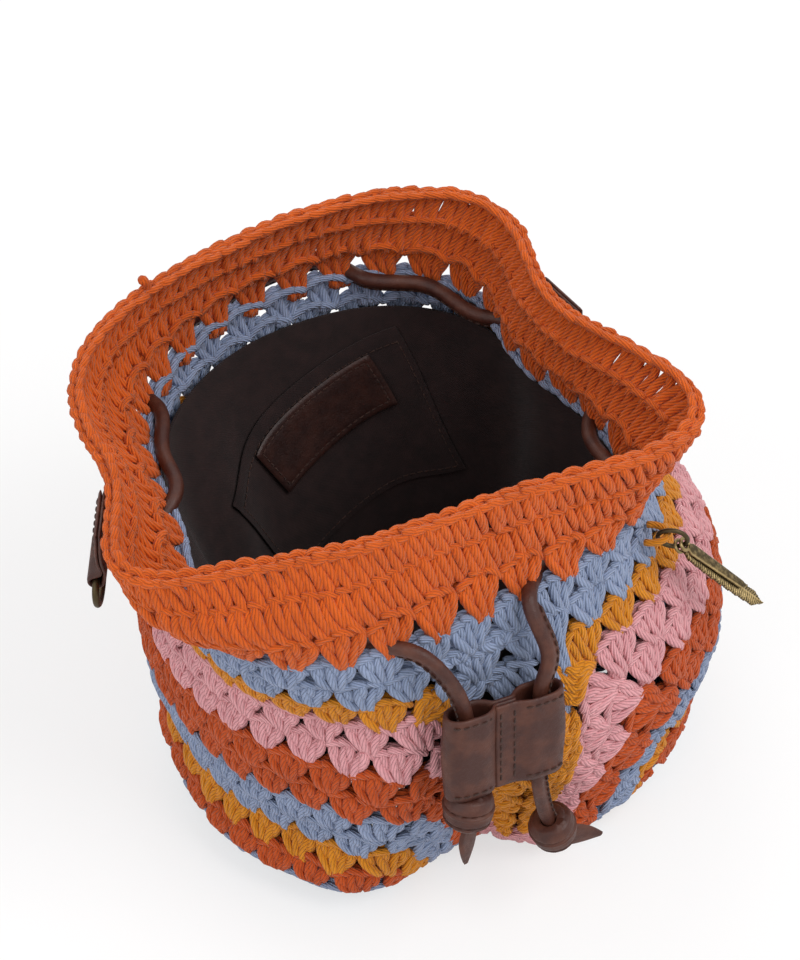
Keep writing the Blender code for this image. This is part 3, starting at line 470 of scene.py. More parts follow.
def make_object(name: str, blocks: list[Block], finish: Finish, sharp: float | None = None,
                weld: bool = False) -> bpy.types.Object:
    """Make an object of blocks, smooth shaded.

    Args:
        name: The piece's name.
        blocks: Its blocks; a block without points takes them from the one before.
        finish: Its finish.
        sharp: Angle in degrees from which edges stay sharp, or nothing.
        weld: Whether points that coincide are joined, which closes the seams between blocks.

    Returns:
        The object, linked to the scene.
    """
    mesh = bpy.data.meshes.new(name)
    offsets = np.cumsum([0] + [len(b.points) for b in blocks])
    corners = np.concatenate([(b.faces + offset).ravel() for b, offset in zip(blocks, offsets)])
    sizes = np.concatenate([np.full(len(b.faces), b.faces.shape[1]) for b in blocks])
    points = np.concatenate([b.points for b in blocks])
    places = np.concatenate([b.places.reshape(-1, 2) for b in blocks])
    mesh.vertices.add(len(points))
    mesh.vertices.foreach_set("co", points.astype(np.float32).ravel())
    mesh.loops.add(len(corners))
    mesh.loops.foreach_set("vertex_index", corners.astype(np.int32))
    mesh.polygons.add(len(sizes))
    mesh.polygons.foreach_set("loop_start", np.concatenate([[0], np.cumsum(sizes)[:-1]]).astype(np.int32))
    mesh.update(calc_edges=True)
    mesh.uv_layers.new(name="surface").data.foreach_set("uv", places.astype(np.float32).ravel())
    if any(b.worn is not None for b in blocks):
        worn = np.concatenate([np.zeros(len(b.points)) if b.worn is None else b.worn for b in blocks])
        mesh.attributes.new("worn", "FLOAT", "POINT").data.foreach_set("value", worn.astype(np.float32))
    mesh.validate()
    if weld:
        shape = bmesh.new()
        shape.from_mesh(mesh)
        bmesh.ops.remove_doubles(shape, verts=shape.verts, dist=1e-6)
        bmesh.ops.recalc_face_normals(shape, faces=shape.faces)
        shape.to_mesh(mesh)
        shape.free()
    mesh.shade_smooth()
    if sharp is not None:
        mesh.set_sharp_from_angle(angle=math.radians(sharp))
    mesh.materials.append(finish.material())
    obj = bpy.data.objects.new(name, mesh)
    bpy.context.scene.collection.objects.link(obj)
    REPORT.info("%s: %d faces", name, len(sizes))
    return obj


@dataclass(frozen=True)
class BagForm:
    """Middle of the crocheted wall: direction in degrees from the front, and crochet rounds from the base."""

    rounds: float = 17.0
    pitch: float = 0.012            # height of a round
    wall_height: float = 0.170
    ground: float = 0.0032          # height of the lowest round's middle
    foot: tuple[float, float] = (0.072, 0.063)      # half width and half depth, also of the next three
    belly: tuple[float, float] = (0.101, 0.090)
    neck: tuple[float, float] = (0.075, 0.082)
    mouth: tuple[float, float] = (0.089, 0.075)
    belly_shift: float = 0.007
    mouth_shift: float = -0.013
    mouth_back: float = 0.010
    crease_turn: float = -13.0
    crease_lean: float = 1.7        # degrees by which the crease leans for each round below the ninth
    crease_depth: float = 0.17
    crease_spread: float = 11.0
    slump: float = 9.0              # rounds by which the wall right of the crease has sunk
    tuck: float = 0.40              # share of a round by which each sunk one lies further in
    stations: tuple[float, ...] = (0.0, 0.8, 2.0, 3.6, 5.5, 8.0, 10.5, 13.0, 15.0, 17.0)

    def outline(self, level: Array) -> tuple[Array, Array, Array, Array, Array]:
        """Read the oval at a level, each measure a curve through the stations.

        Args:
            level: Level in crochet rounds.

        Returns:
            Half width, half depth, the middle's x and y, and the height.
        """
        stations = np.array(self.stations)
        grow_w = np.array([0.0, 0.45, 0.76, 0.80, 1.0])
        grow_d = np.array([0.0, 0.48, 0.80, 0.82, 1.0])
        close_w, close_d = np.array([0.08, 0.46, 1.0]), np.array([0.12, 0.75, 1.0])
        sizes = []
        for k, grow, close, open_ in ((0, grow_w, close_w, 0.43), (1, grow_d, close_d, 0.57)):
            foot, belly, neck, mouth = self.foot[k], self.belly[k], self.neck[k], self.mouth[k]
            sizes.append(np.concatenate([foot + (belly - foot) * grow, belly + (neck - belly) * close,
                                         [neck + (mouth - neck) * open_, mouth]]))
        lean = np.array([0.05, 0.05, 0.05, 0.0, -0.05, 0.1, 0.4, 0.7, 0.95, 1.0])
        shift = self.belly_shift + (self.mouth_shift - self.belly_shift) * lean
        back = self.mouth_back * np.array([0.0, -0.1, -0.1, -0.1, 0.0, 0.0, 0.4, 1.0, 1.1, 1.0])
        rise = np.array([0.0, 0.012, 0.066, 0.162, 0.288, 0.461, 0.629, 0.784, 0.898, 1.0])
        height = self.ground + (self.wall_height - self.ground) * rise
        return tuple(through(level, stations, values) for values in (*sizes, shift, back, height))

    def on_wall(self, turn: Array, rounds: Array) -> Array:
        """Point of the fabric's middle.

        An oval grows from the foot to the belly, closes at the neck and flares to a mouth with two ears. Its
        radius is (|sin|^q + |cos|^q)^(-1/q), times bells for the ears, hollows and the front crease. Right of
        the crease the rounds have sunk by the slump, so the lowest lie gathered under the bag.

        Args:
            turn: Direction in degrees, 0 at the front, growing towards +X.
            rounds: Level in crochet rounds.

        Returns:
            Points, the last axis x, y, z.
        """
        turn, rounds = np.broadcast_arrays(np.asarray(turn, float), np.asarray(rounds, float))
        side = (turn + 180.0) % 360.0 - 180.0
        crease = self.crease_turn - self.crease_lean * np.clip(9 - rounds, 0, 9)
        reach = np.clip(28 + 4.5 * (10 - rounds), 28, 48)
        t = np.clip((side - crease + self.crease_spread) / (2 * self.crease_spread), 0, 1)
        back = np.clip((side - self.crease_turn - 4) / (reach - 4), 0, 1)
        sunk = t * t * (3 - 2 * t) * (1 - back * back * (3 - 2 * back)) * (1 - smooth_step(rounds, 10, 11.6))
        level = rounds - self.slump * sunk
        half_width, half_depth, shift_x, shift_y, z = self.outline(np.clip(level, 0, self.rounds))
        tucked = self.tuck * self.pitch * np.clip(-level, 0, None)
        upper = smooth_step(rounds, 10, self.rounds)
        flank = smooth_step(rounds, 9, 13)
        neck = smooth_step(rounds, 9, 12.5) * (1 - smooth_step(rounds, 14, self.rounds))
        belly = (1 - smooth_step(rounds, 9, 12)) * smooth_step(rounds, 0, 3)
        low = 1 - smooth_step(rounds, 2, 4.5)
        power = 2.2 + 0.7 * smooth_step(rounds, 11, self.rounds)
        angle = np.radians(turn)
        radius = (np.abs(np.sin(angle)) ** power + np.abs(np.cos(angle)) ** power) ** (-1 / power)
        # the front crease, and the bulge to its left
        radius = radius * (1 - self.crease_depth * belly * bell(turn, crease + 3, 9))
        radius = radius * (1 + 0.05 * belly * bell(turn, crease - 15, 10))
        # the mouth: fuller on the left, hollow on the right and at the back left, with an ear at each side
        radius = radius * (1 + 0.05 * upper * bell(turn, -103, 22) - 0.12 * upper * bell(turn, 79, 17))
        radius = radius * (1 - 0.17 * flank * bell(turn, 102, 20) - 0.05 * upper * bell(turn, -150, 20))
        radius = radius * (1 + 0.24 * upper * bell(turn, -64, 15) + 0.21 * upper * bell(turn, 45, 17))
        # the foot and the neck are fuller at the front left
        radius = radius * (1 + 0.06 * low * bell(turn, -62, 35)) * (1 + 0.20 * neck * bell(turn, -48, 28))
        x = shift_x + (half_width - tucked) * radius * np.sin(angle)
        y = shift_y - (half_depth - tucked) * radius * np.cos(angle)
        lift = 0.006 * bell(turn, -10, 40) + 0.004 * bell(turn, 170, 60)
        z = z + upper * (lift + 0.002 * bell(turn, 62, 25) - 0.002 * bell(turn, -66, 25))
        return np.stack([x, y, z], axis=-1)

    def slopes(self, turn: Array, rounds: Array) -> tuple[Array, Array]:
        """Take central differences of the fabric's middle.

        Args:
            turn: Direction in degrees.
            rounds: Level in crochet rounds.

        Returns:
            Change of the point for one degree of turn, and for one round.
        """
        inner = np.clip(rounds, 0.06, self.rounds - 0.06)
        along = (self.on_wall(turn + 0.4, inner) - self.on_wall(turn - 0.4, inner)) / 0.8
        up = (self.on_wall(turn, inner + 0.05) - self.on_wall(turn, inner - 0.05)) / 0.1
        return along, up

    def normal(self, turn: Array | float, rounds: Array | float) -> Array:
        """Unit normal towards the outside: the cross product of the two slopes."""
        along, up = self.slopes(np.asarray(turn, float), np.asarray(rounds, float))
        return unit(np.cross(along, up))

    def off(self, turn: Array, rounds: Array, distance: Array | float) -> Array:
        """Go off the fabric's middle along its normal; past its edge the fabric goes on along its slope.

        Args:
            turn: Direction in degrees.
            rounds: Level in crochet rounds.
            distance: Distance outside the middle, or minus that inside it.

        Returns:
            The points.
        """
        given = [np.asarray(value, float) for value in (turn, rounds, distance)]
        turn, rounds, distance = np.broadcast_arrays(*given)
        along, up = self.slopes(turn, rounds)
        beyond = rounds - np.clip(rounds, 0, self.rounds)
        edge = self.on_wall(turn, np.clip(rounds, 0, self.rounds))
        point = edge + beyond[..., None] * self.pitch * 0.9 * unit(up)
        return point + distance[..., None] * unit(np.cross(along, up))


FORM = BagForm()


def ribbon_blocks(middle: Array, normal: Array, thickness: float, edge: float = 0.3) -> list[Block]:
    """Give a sheet its thickness: two faces half the thickness off the middle, and a rim that bulges out.

    Args:
        middle: Grid of points on the middle surface.
        normal: Unit normals of the same grid.
        thickness: Distance between the two faces.
        edge: Share of the half thickness by which the faces drop at the rim, which rounds it.

    Returns:
        The blocks of the upper face, the lower face and the rim.
    """
    rows, columns = middle.shape[:2]
    half = np.full((rows, columns), thickness / 2)
    half[[0, -1]] *= 1 - edge
    half[:, [0, -1]] *= 1 - edge
    top = middle + half[..., None] * normal
    low = middle - half[..., None] * normal
    along = np.concatenate([[0.0], np.cumsum(np.linalg.norm(np.diff(middle[:, 0], axis=0), axis=-1))])
    over = np.concatenate([[0.0], np.cumsum(np.linalg.norm(np.diff(middle[0], axis=0), axis=-1))])
    places = np.stack(np.meshgrid(along, over, indexing="ij"), axis=-1)
    row = np.concatenate([np.zeros(columns - 1), np.arange(rows - 1), np.full(columns - 1, rows - 1),
                          np.arange(rows - 1, 0, -1)]).astype(int)
    column = np.concatenate([np.arange(columns - 1), np.full(rows - 1, columns - 1),
                             np.arange(columns - 1, 0, -1), np.zeros(rows - 1)]).astype(int)
    inner = middle[np.clip(row, 1, rows - 2), np.clip(column, 1, columns - 2)]
    outward = unit(middle[row, column] - inner) * thickness * edge / 2
    rim = np.stack([top[row, column], middle[row, column] + outward, low[row, column]])
    side = places[np.append(row, row[0]), np.append(column, column[0])]
    strip = np.stack([side, side + thickness / 2, side + thickness])
    return [grid_block(top, places), grid_block(low, places, flip=True),
            grid_block(rim, strip, around=True, flip=True)]


def grid_normals(middle: Array) -> Array:
    """Unit normals of a grid of points: rows' tangent x columns' tangent."""
    return unit(np.cross(np.gradient(middle, axis=0), np.gradient(middle, axis=1)))


class Seam(Enum):
    """The bag's seams: distance from stitch to stitch, length of a stitch and the thread's radius."""

    POCKET = (2.8 * MM, 2.0 * MM, 0.22 * MM)
    LABEL = (2.6 * MM, 1.8 * MM, 0.27 * MM)
    CORD = (3.2 * MM, 2.1 * MM, 0.30 * MM)
    STRAP = (3.0 * MM, 2.1 * MM, 0.33 * MM)


def stitch_blocks(line: Array, normal: Array, seam: Seam) -> list[Block]:
    """Sew a row of stitches: short strands that lie along a line and dive into the leather at both ends.

    Args:
        line: Points of the seam.
        normal: Direction off the surface at each point.
        seam: The seam's measures.

    Returns:
        The stitches' blocks.
    """
    pitch, length, radius = seam.value
    reach = np.concatenate([[0.0], np.cumsum(np.linalg.norm(np.diff(line, axis=0), axis=1))])
    number = max(1, int(reach[-1] / pitch))
    start = (np.arange(number) + 0.5) * reach[-1] / number - length / 2
    t = np.array([0.0, 0.18, 0.5, 0.82, 1.0])
    stops = start[:, None] + length * t
    paths = np.stack([np.interp(stops, reach, line[:, k]) for k in range(3)], axis=-1)
    guide = unit(np.stack([np.interp(stops, reach, normal[:, k]) for k in range(3)], axis=-1))
    paths = paths + guide * (radius * np.array([-0.9, 0.35, 0.55, 0.35, -0.9]))[:, None]
    return strand_blocks(paths, radius, guide, 6)


@dataclass(frozen=True)
class Place:
    """A right-handed frame: its origin and unit axes."""

    origin: Array
    x: Array
    y: Array
    z: Array

    def at(self, a: Array | float, b: Array | float, c: Array | float) -> Array:
        """World points of local coordinates: origin + a x + b y + c z."""
        a, b, c = np.broadcast_arrays(np.asarray(a, float), np.asarray(b, float), np.asarray(c, float))
        return self.origin + a[..., None] * self.x + b[..., None] * self.y + c[..., None] * self.z


def place_along(origin: Array, along: Array, near: Array) -> Place:
    """Make a frame from two directions.

    Args:
        origin: Its origin.
        along: Direction of its x axis.
        near: Direction near its y axis.

    Returns:
        The frame.
    """
    x = unit(np.asarray(along, float))
    z = unit(np.cross(x, near))
    return Place(np.asarray(origin, float), x, np.cross(z, x), z)


def carry(obj: bpy.types.Object, body: str, slot: str, *nodes: str) -> bpy.types.Object:
    """Let a piece ride on a body and hide the CAD nodes that it stands for.

    Args:
        obj: The piece.
        body: The body it rides on.
        slot: Not used.
        nodes: CAD nodes that it stands for, if any.

    Returns:
        The piece.
    """
    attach(obj, body)
    if nodes:
        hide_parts(*nodes)
    return obj


def sew(name: str, body: str, slot: str, seam: Seam, lines: list[tuple[Array, Array]]) -> bpy.types.Object:
    """Sew rows of stitches as one piece.

    Args:
        name: The piece's name.
        body: The body it rides on.
        slot: Not used; only passed on to carry.
        seam: The seam's measures.
        lines: Points of each row, with the direction off the surface at each.

    Returns:
        The stitches.
    """
    blocks = [block for line, normal in lines for block in stitch_blocks(line, normal, seam)]
    return carry(make_object(name, blocks, Finish.THREAD), body, slot)


# Crochet

@dataclass(frozen=True)
class StitchWork:
    """Strands of one stitch group: along the round in groups, up in rounds, and off the wall in metres."""

    strands: Array
    radius: Array


def twisted_post(foot: tuple[float, float], head: tuple[float, float], turns: float, start: float,
                 swing: float, depth: float, stations: int = 8) -> Array:
    """Two strands twisted round each other from foot to head.

    A strand is foot + (head - foot) t + swing cos(w) along and depth sin(w) off the wall, with w rising by
    the turns; the second is half a turn behind. Both sink into the fabric at the foot.

    Args:
        foot: Lower end, along and up.
        head: Upper end, along and up.
        turns: Turns from end to end.
        start: Angle at the foot, in turns.
        swing: How far a strand swings along the round.
        depth: How far it swings off the wall.
        stations: Points on a strand.

    Returns:
        Array of two strands, points, and along, up, off.
    """
    t = np.linspace(0, 1, stations)
    strands = []
    for half in (0.0, 0.5):
        w = TAU * (start + half + turns * t)
        ease = t * t * (3 - 2 * t)
        loose = 0.60 + 0.40 * np.sin(np.pi * t) ** 0.5
        along = foot[0] + (head[0] - foot[0]) * ease + swing * np.cos(w) * loose
        up = foot[1] + (head[1] - foot[1]) * t
        off = 1.2 * MM + depth * np.sin(w) - 2.4 * MM * (1 - t) ** 3 - 0.7 * MM * t**4
        strands.append(np.stack([along, up, off], axis=-1))
    return np.array(strands)


def crown(along: Array, height: float, drop: float) -> Array:
    """Height of a group's arched top: height - drop (2 along)^2."""
    return height - drop * (2 * along) ** 2


def crown_leg(middle: float, half: float, height: float, drop: float, off: tuple[float, float], lean: float,
              stations: int = 7) -> Array:
    """One strand of the chain on top of a stitch, which follows the arched top and slants over it.

    Args:
        middle: Stitch's place along the round.
        half: Half of the strand's length along the round.
        height: Height of the arch.
        drop: How far the arch drops at its sides.
        off: Distance off the wall at the strand's two ends.
        lean: How far the strand climbs over its length.
        stations: Points on the strand.

    Returns:
        Array of one strand.
    """
    t = np.linspace(0, 1, stations)
    along = middle + half * (2 * t - 1)
    up = crown(along, height, drop) + lean * (t - 0.5) + 0.035 * np.sin(np.pi * t)
    depth = off[0] + (off[1] - off[0]) * t + 0.5 * MM * np.sin(np.pi * t) * np.sign(sum(off))
    return np.stack([along, up, depth], axis=-1)[None]


def cluster_work() -> StitchWork:
    """A granny cluster: three double crochets from one gap, which spread to an arched top.

    Returns:
        The strands and their radii.
    """
    posts, legs = [], []
    for j, start in ((-1, 0.00), (0, 0.04), (1, 0.08)):
        head = (0.335 * j - 0.03, 0.98 - 0.15 * abs(j))
        posts.append(twisted_post((0.120 * j, -0.40), head, 0.62, start, 0.078, 0.8 * MM))
        legs.append(crown_leg(0.315 * j, 0.215, 0.95, 0.26, (1.0 * MM, 0.2 * MM), -0.20))
        legs.append(crown_leg(0.315 * j, 0.215, 0.95, 0.26, (-1.6 * MM, -0.7 * MM), -0.10))
    posts, legs = np.concatenate(posts), np.concatenate(legs)
    spots, stops = np.linspace(0, 1, posts.shape[1]), np.linspace(0, 1, legs.shape[1])
    legs = np.stack([np.stack([np.interp(spots, stops, leg[:, k]) for k in range(3)], axis=-1)
                     for leg in legs])
    radius = np.concatenate([np.full(len(posts), 1.76), np.full(len(legs), 1.45)]) * MM
    return StitchWork(np.concatenate([posts, legs]), radius)


def close_work(slant: float) -> StitchWork:
    """Three single stitches side by side, for the close rounds of the rim.

    Args:
        slant: How far a post leans along the round.

    Returns:
        The strands and their radii.
    """
    posts, legs = [], []
    for j in (-1, 0, 1):
        foot, head = (j / 3 - slant / 2, -0.22), (j / 3 + slant / 2, 0.97)
        posts.append(twisted_post(foot, head, 0.34, -0.17, 0.098, 0.8 * MM))
        legs.append(crown_leg(j / 3, 0.19, 0.93, 0.0, (1.0 * MM, 0.2 * MM), -0.14, 8))
        legs.append(crown_leg(j / 3, 0.19, 0.93, 0.0, (-1.5 * MM, -0.5 * MM), -0.10, 8))
    strands = np.concatenate(posts + legs)
    radius = np.concatenate([np.full(6, 1.78), np.full(6, 1.30)]) * MM
    return StitchWork(strands, radius)


def edge_work() -> StitchWork:
    """The rim's edge: a thick braided chain along the top of the last round, which leans inwards.

    Returns:
        The strands and their radii.
    """
    t = np.linspace(0, 1, 9)
    strands = []
    for j in (-1, 0, 1):
        for side in (1, -1):
            along = j / 3 - 0.19 + 0.44 * t
            up = 0.86 + 0.13 * np.sin(np.pi * t) + (0.05 if side < 0 else -0.10) * (1 - t)
            off = -0.4 * MM + side * (0.35 + 1.45 * np.sin(np.pi * np.clip(t * 1.1, 0, 1))) * MM
            strands.append(np.stack([along, up, off], axis=-1)[None])
    return StitchWork(np.concatenate(strands), np.full(6, 1.42) * MM)


@dataclass
class CrochetWall:
    """The striped wall: every round's stitches, laid over the form at the yarn's own scale."""

    clusters: int = 34
    cluster_pitch: float = 0.0170
    row_height: float = 0.0118
    rim_level: int = 13
    tall: float = 1.5               # from this many row heights a round is worked as several rows
    close: float = 1.12             # how far groups are squeezed before a round gets extra ones
    slumped: tuple[float, float] = (-42.0, 62.0)    # directions between which it gets them
    slumped_level: float = 11.0     # round below which it gets them
    lie: float = 1.65 * MM          # lowest place of a strand's middle above the ground
    bands: tuple[tuple[str, int, int, Finish], ...] = (
        # the bands named rust are the orange yarn, drawn with its darker painted-shade copy
        ("foot_band_blue", 0, 2, Finish.BLUE), ("low_band_rust", 2, 3, Finish.RUST),
        ("low_band_mustard", 3, 4, Finish.MUSTARD), ("low_band_blue", 4, 6, Finish.BLUE),
        ("middle_band_rust", 6, 8, Finish.RUST), ("middle_band_pink", 8, 10, Finish.PINK),
        ("upper_band_mustard", 10, 11, Finish.MUSTARD), ("upper_band_blue", 11, 13, Finish.BLUE),
        ("rim_band_orange", 13, 17, Finish.ORANGE))

    def phase(self, level: float) -> tuple[Array, Array]:
        """Count stitch groups round a level.

        The groups divide the neck's length evenly, with more where the crease stretches the round beyond
        their pitch. The extra groups are rounded to a whole number, so that all rounds mesh outside the
        crease.

        Args:
            level: The level in rounds.

        Returns:
            Directions in degrees and the count reached at each.
        """
        turns = np.linspace(-180.0, 180.0, 1441)
        along, _ = FORM.slopes(turns, np.full(turns.shape, level))
        neck, _ = FORM.slopes(turns, np.full(turns.shape, float(self.rim_level)))
        step = turns[1] - turns[0]
        base = np.linalg.norm(neck, axis=-1)
        base = base * self.clusters / (base[:-1].sum() * step)
        wanted = np.linalg.norm(along, axis=-1) / self.cluster_pitch
        inside = (turns > self.slumped[0]) & (turns < self.slumped[1]) & (level < self.slumped_level)
        extra = np.clip(wanted - self.close * base, 0, None) * inside
        total = extra.sum() * step
        extra = extra * (round(total) / total) if total > 0.5 else extra * 0
        density = base + extra
        count = np.concatenate([[0.0], np.cumsum((density[1:] + density[:-1]) / 2) * step])
        return turns, count * (round(count[-1]) / count[-1])

    def lay(self, work: StitchWork, start: float, span: float, parity: float, seed: int,
            keep: Array | None = None) -> tuple[Array, Array, Array, Array]:
        """Lay a row of stitch groups over the form.

        A strand's point at (a, b, c) goes to turn + a * pitch + (b - 1/2) * shear and to level + b * span,
        c off the wall. The shear keeps a group's height square to its round where the round runs steeply.

        Args:
            work: The group's strands.
            start: Level of the row's lower edge.
            span: Its height in rounds.
            parity: Shift along the row in groups.
            seed: Seed of the hand-made irregularity.
            keep: Directions between which the row is laid, or nothing for a full round.

        Returns:
            Paths, radii, guides and the middle direction of each group.
        """
        turns, count = self.phase(start + span / 2)
        number = int(round(count[-1]))
        middles = np.interp((np.arange(number) + parity) % number, count, turns)
        pitch = np.interp(middles, turns, 1 / np.gradient(count, turns))
        if keep is not None:
            chosen = (middles > keep[0]) & (middles < keep[1])
            middles, pitch = middles[chosen], pitch[chosen]
        along, up = FORM.slopes(middles, np.full(middles.shape, start + span / 2))
        shear = -span * np.sum(along * up, axis=-1) / np.sum(along * along, axis=-1)
        random = np.random.default_rng(seed)
        groups, strands, stations = len(middles), *work.strands.shape[:2]
        wobble = random.normal(0, 1, (groups, strands, 1, 3)) * np.array([0.012, 0.018, 0.16 * MM])
        sway = random.normal(0, 1, (groups, 1, 1, 3)) * np.array([0.020, 0.025, 0.22 * MM])
        local = work.strands[None] + wobble + sway
        turn = middles[:, None, None] + local[..., 0] * pitch[:, None, None]
        turn = turn + (local[..., 1] - 0.5) * shear[:, None, None]
        level = start + local[..., 1] * span
        paths = FORM.off(turn, level, local[..., 2])
        paths[..., 2] = np.maximum(paths[..., 2], self.lie)
        guide = FORM.normal(turn, level)
        fat = work.radius[None, :, None] * (1 + 0.05 * random.normal(0, 1, (groups, strands, 1)))
        ends = np.ones(stations)
        ends[[0, -1]] = 0.72
        shape = (groups * strands, stations)
        fat = np.broadcast_to(fat * ends, (groups, strands, stations))
        return paths.reshape(*shape, 3), fat.reshape(shape), guide.reshape(*shape, 3), middles

    def heights(self, level: float) -> Array:
        """Find where a round is tall enough for several rows.

        Args:
            level: The round's lower level.

        Returns:
            Directions in degrees, and the number of rows at each.
        """
        turns = np.linspace(-60.0, 60.0, 241)
        along, up = FORM.slopes(turns, np.full(turns.shape, level + 0.5))
        height = np.linalg.norm(np.cross(along, up), axis=-1) / np.linalg.norm(along, axis=-1)
        rows = np.where(height > self.tall * self.row_height, np.round(height / self.row_height), 1)
        return np.stack([turns, np.clip(rows, 1, 6)])

    def rows(self, first: int, last: int) -> list[tuple[float, float, StitchWork]]:
        """List the rows of a band. The rim has a cluster row, two close ones and the edge chain.

        Args:
            first: The band's lowest level.
            last: Its highest level.

        Returns:
            Each row's lower level, its height in rounds and its stitch groups.
        """
        if first < self.rim_level:
            return [(level, 1.0, cluster_work()) for level in range(first, last)]
        step = (last - first) / 3
        rim = [(first, step, cluster_work()), (first + step, step, close_work(-0.18))]
        return rim + [(first + 2 * step, step, close_work(-0.18)), (last - 1.0, 1.0, edge_work())]

    def row_blocks(self, start: float, span: float, work: StitchWork, number: int) -> list[Block]:
        """Work one row.

        Args:
            start: Level of its lower edge.
            span: Its height in rounds.
            work: Its stitch groups.
            number: Its number, which shifts every second row by half a group and seeds its irregularity.

        Returns:
            The row's blocks.
        """
        parity = 0.5 * (number % 2)
        sides = 7 if start > self.rim_level else 6
        blocks = []
        paths, radius, guide, middles = self.lay(work, start, span, parity, 100 + number)
        turns, rows = self.heights(start)
        tall = turns[rows > 1] if start < self.rim_level - 1 else np.array([])
        if len(tall):
            low, high = tall.min() - 2, tall.max() + 2
            plain = np.repeat((middles < low) | (middles > high), len(work.strands))
            paths, radius, guide = paths[plain], radius[plain], guide[plain]
            most = int(rows.max())
            for j in range(most):
                part = self.lay(work, start + j * span / most, span / most, (parity + 0.5 * j) % 1,
                                300 + 10 * number + j, np.array([low, high]))
                blocks += strand_blocks(part[0], part[1], part[2], sides)
        return strand_blocks(paths, radius, guide, sides) + blocks

    def build(self) -> list[bpy.types.Object]:
        """Work every band, and let each stand for its node.

        Returns:
            The bands' objects.
        """
        made = []
        for name, first, last, finish in self.bands:
            rows = enumerate(self.rows(first, last))
            blocks = [block for j, row in rows for block in self.row_blocks(*row, first + j)]
            band = make_object("yarn_" + name, blocks, finish)
            carry(band, "bag", finish.name.lower() + "_yarn", name)
            made.append(band)
        return made


@dataclass
class CrochetBase:
    """The flat base: close rounds worked outwards from the middle."""

    stitch: float = 0.0054
    rounds: int = 6

    def build(self) -> bpy.types.Object:
        """Lay each round's posts as spokes between two ovals that shrink towards the middle.

        Returns:
            The base.
        """
        turns = np.arange(0, 360, 2.0)
        edge = FORM.on_wall(turns, 0.0)
        middle = edge.mean(axis=0)
        reach = np.linalg.norm((edge - middle)[:, :2], axis=1)
        blocks = []
        t = np.linspace(0, 1, 8)
        for ring in range(self.rounds):
            inner, outer = ring / self.rounds, (ring + 1) / self.rounds
            number = max(6, int(round(TAU * reach.mean() * (inner + outer) / 2 / self.stitch)))
            centre = (np.arange(number) + 0.5 * (ring % 2)) * 360 / number
            paths = []
            for half in (0.0, 0.5):
                w = TAU * (0.1 + half + t)
                turn = centre[:, None] + 0.20 * np.cos(w) * 360 / number
                share = inner - 0.02 + (outer - inner + 0.03) * t
                distance = np.interp(turn % 360, np.append(turns, 360), np.append(reach, reach[0])) * share
                angle = np.radians(turn)
                flat = np.stack([middle[0] + distance * np.sin(angle), middle[1] - distance * np.cos(angle),
                                 np.broadcast_to(2.3 * MM + 0.9 * MM * np.sin(w), distance.shape)], axis=-1)
                paths.append(flat)
            paths = np.concatenate(paths)
            blocks += strand_blocks(paths, 1.3 * MM, np.broadcast_to([0.0, 0.0, 1.0], paths.shape))
        base = make_object("yarn_crochet_base", blocks, Finish.BLUE)
        return carry(base, "bag", "blue_yarn", "crochet_base")


@dataclass
class LooseYarn:
    """The cut yarn end on the rim and the yarn loop that holds the charms."""

    end_turn: float = -148.0
    loop_half: float = 3.6 * MM
    loop_radius: float = 1.25 * MM

    def end(self) -> bpy.types.Object:
        """Stand the cut end up on the rim, with a slight bend and a thicker frayed tip.

        Returns:
            The yarn end.
        """
        start = FORM.off(self.end_turn, 17.0, 0.0) - np.array([0, 0, 1.5 * MM])
        t = np.linspace(0, 1, 8)[:, None]
        bend = np.sin(np.pi * t) * np.array([0.9, 0.0, 0.0]) * MM
        path = start + t * np.array([-2.2, 0.4, 7.2]) * MM + bend
        radius = np.array([1.3, 1.3, 1.35, 1.4, 1.5, 1.7, 1.8, 1.3]) * MM
        guide = np.tile([0.0, 1.0, 0.0], (1, len(path), 1))
        end = make_object("yarn_end", strand_blocks(path[None], radius[None], guide, 9), Finish.ORANGE)
        return carry(end, "bag", "orange_yarn", "rim_yarn_end")

    def loop(self, charms: "Charms") -> bpy.types.Object:
        """Lay the charms' loop: half an oval that stands off the wall, with its ends in the fabric.

        Args:
            charms: The charms that hang on it.

        Returns:
            The loop.
        """
        hang, _ = charms.hang()
        rise = FORM.normal(charms.turn, charms.level) * charms.loop_height
        w = np.linspace(-0.24, math.pi + 0.24, 16)[:, None]
        path = hang.origin - rise + hang.y * self.loop_half * np.cos(w) + rise * np.sin(w)
        guide = np.tile(-hang.y, (1, len(path), 1))
        loop = make_object("yarn_charm_loop", strand_blocks(path[None], self.loop_radius, guide, 9),
                           Finish.MUSTARD)
        return carry(loop, "bag", "mustard_yarn", "charm_loop")

    def build(self, charms: "Charms") -> None:
        """Lay both short strands."""
        self.end()
        self.loop(charms)


# Lining

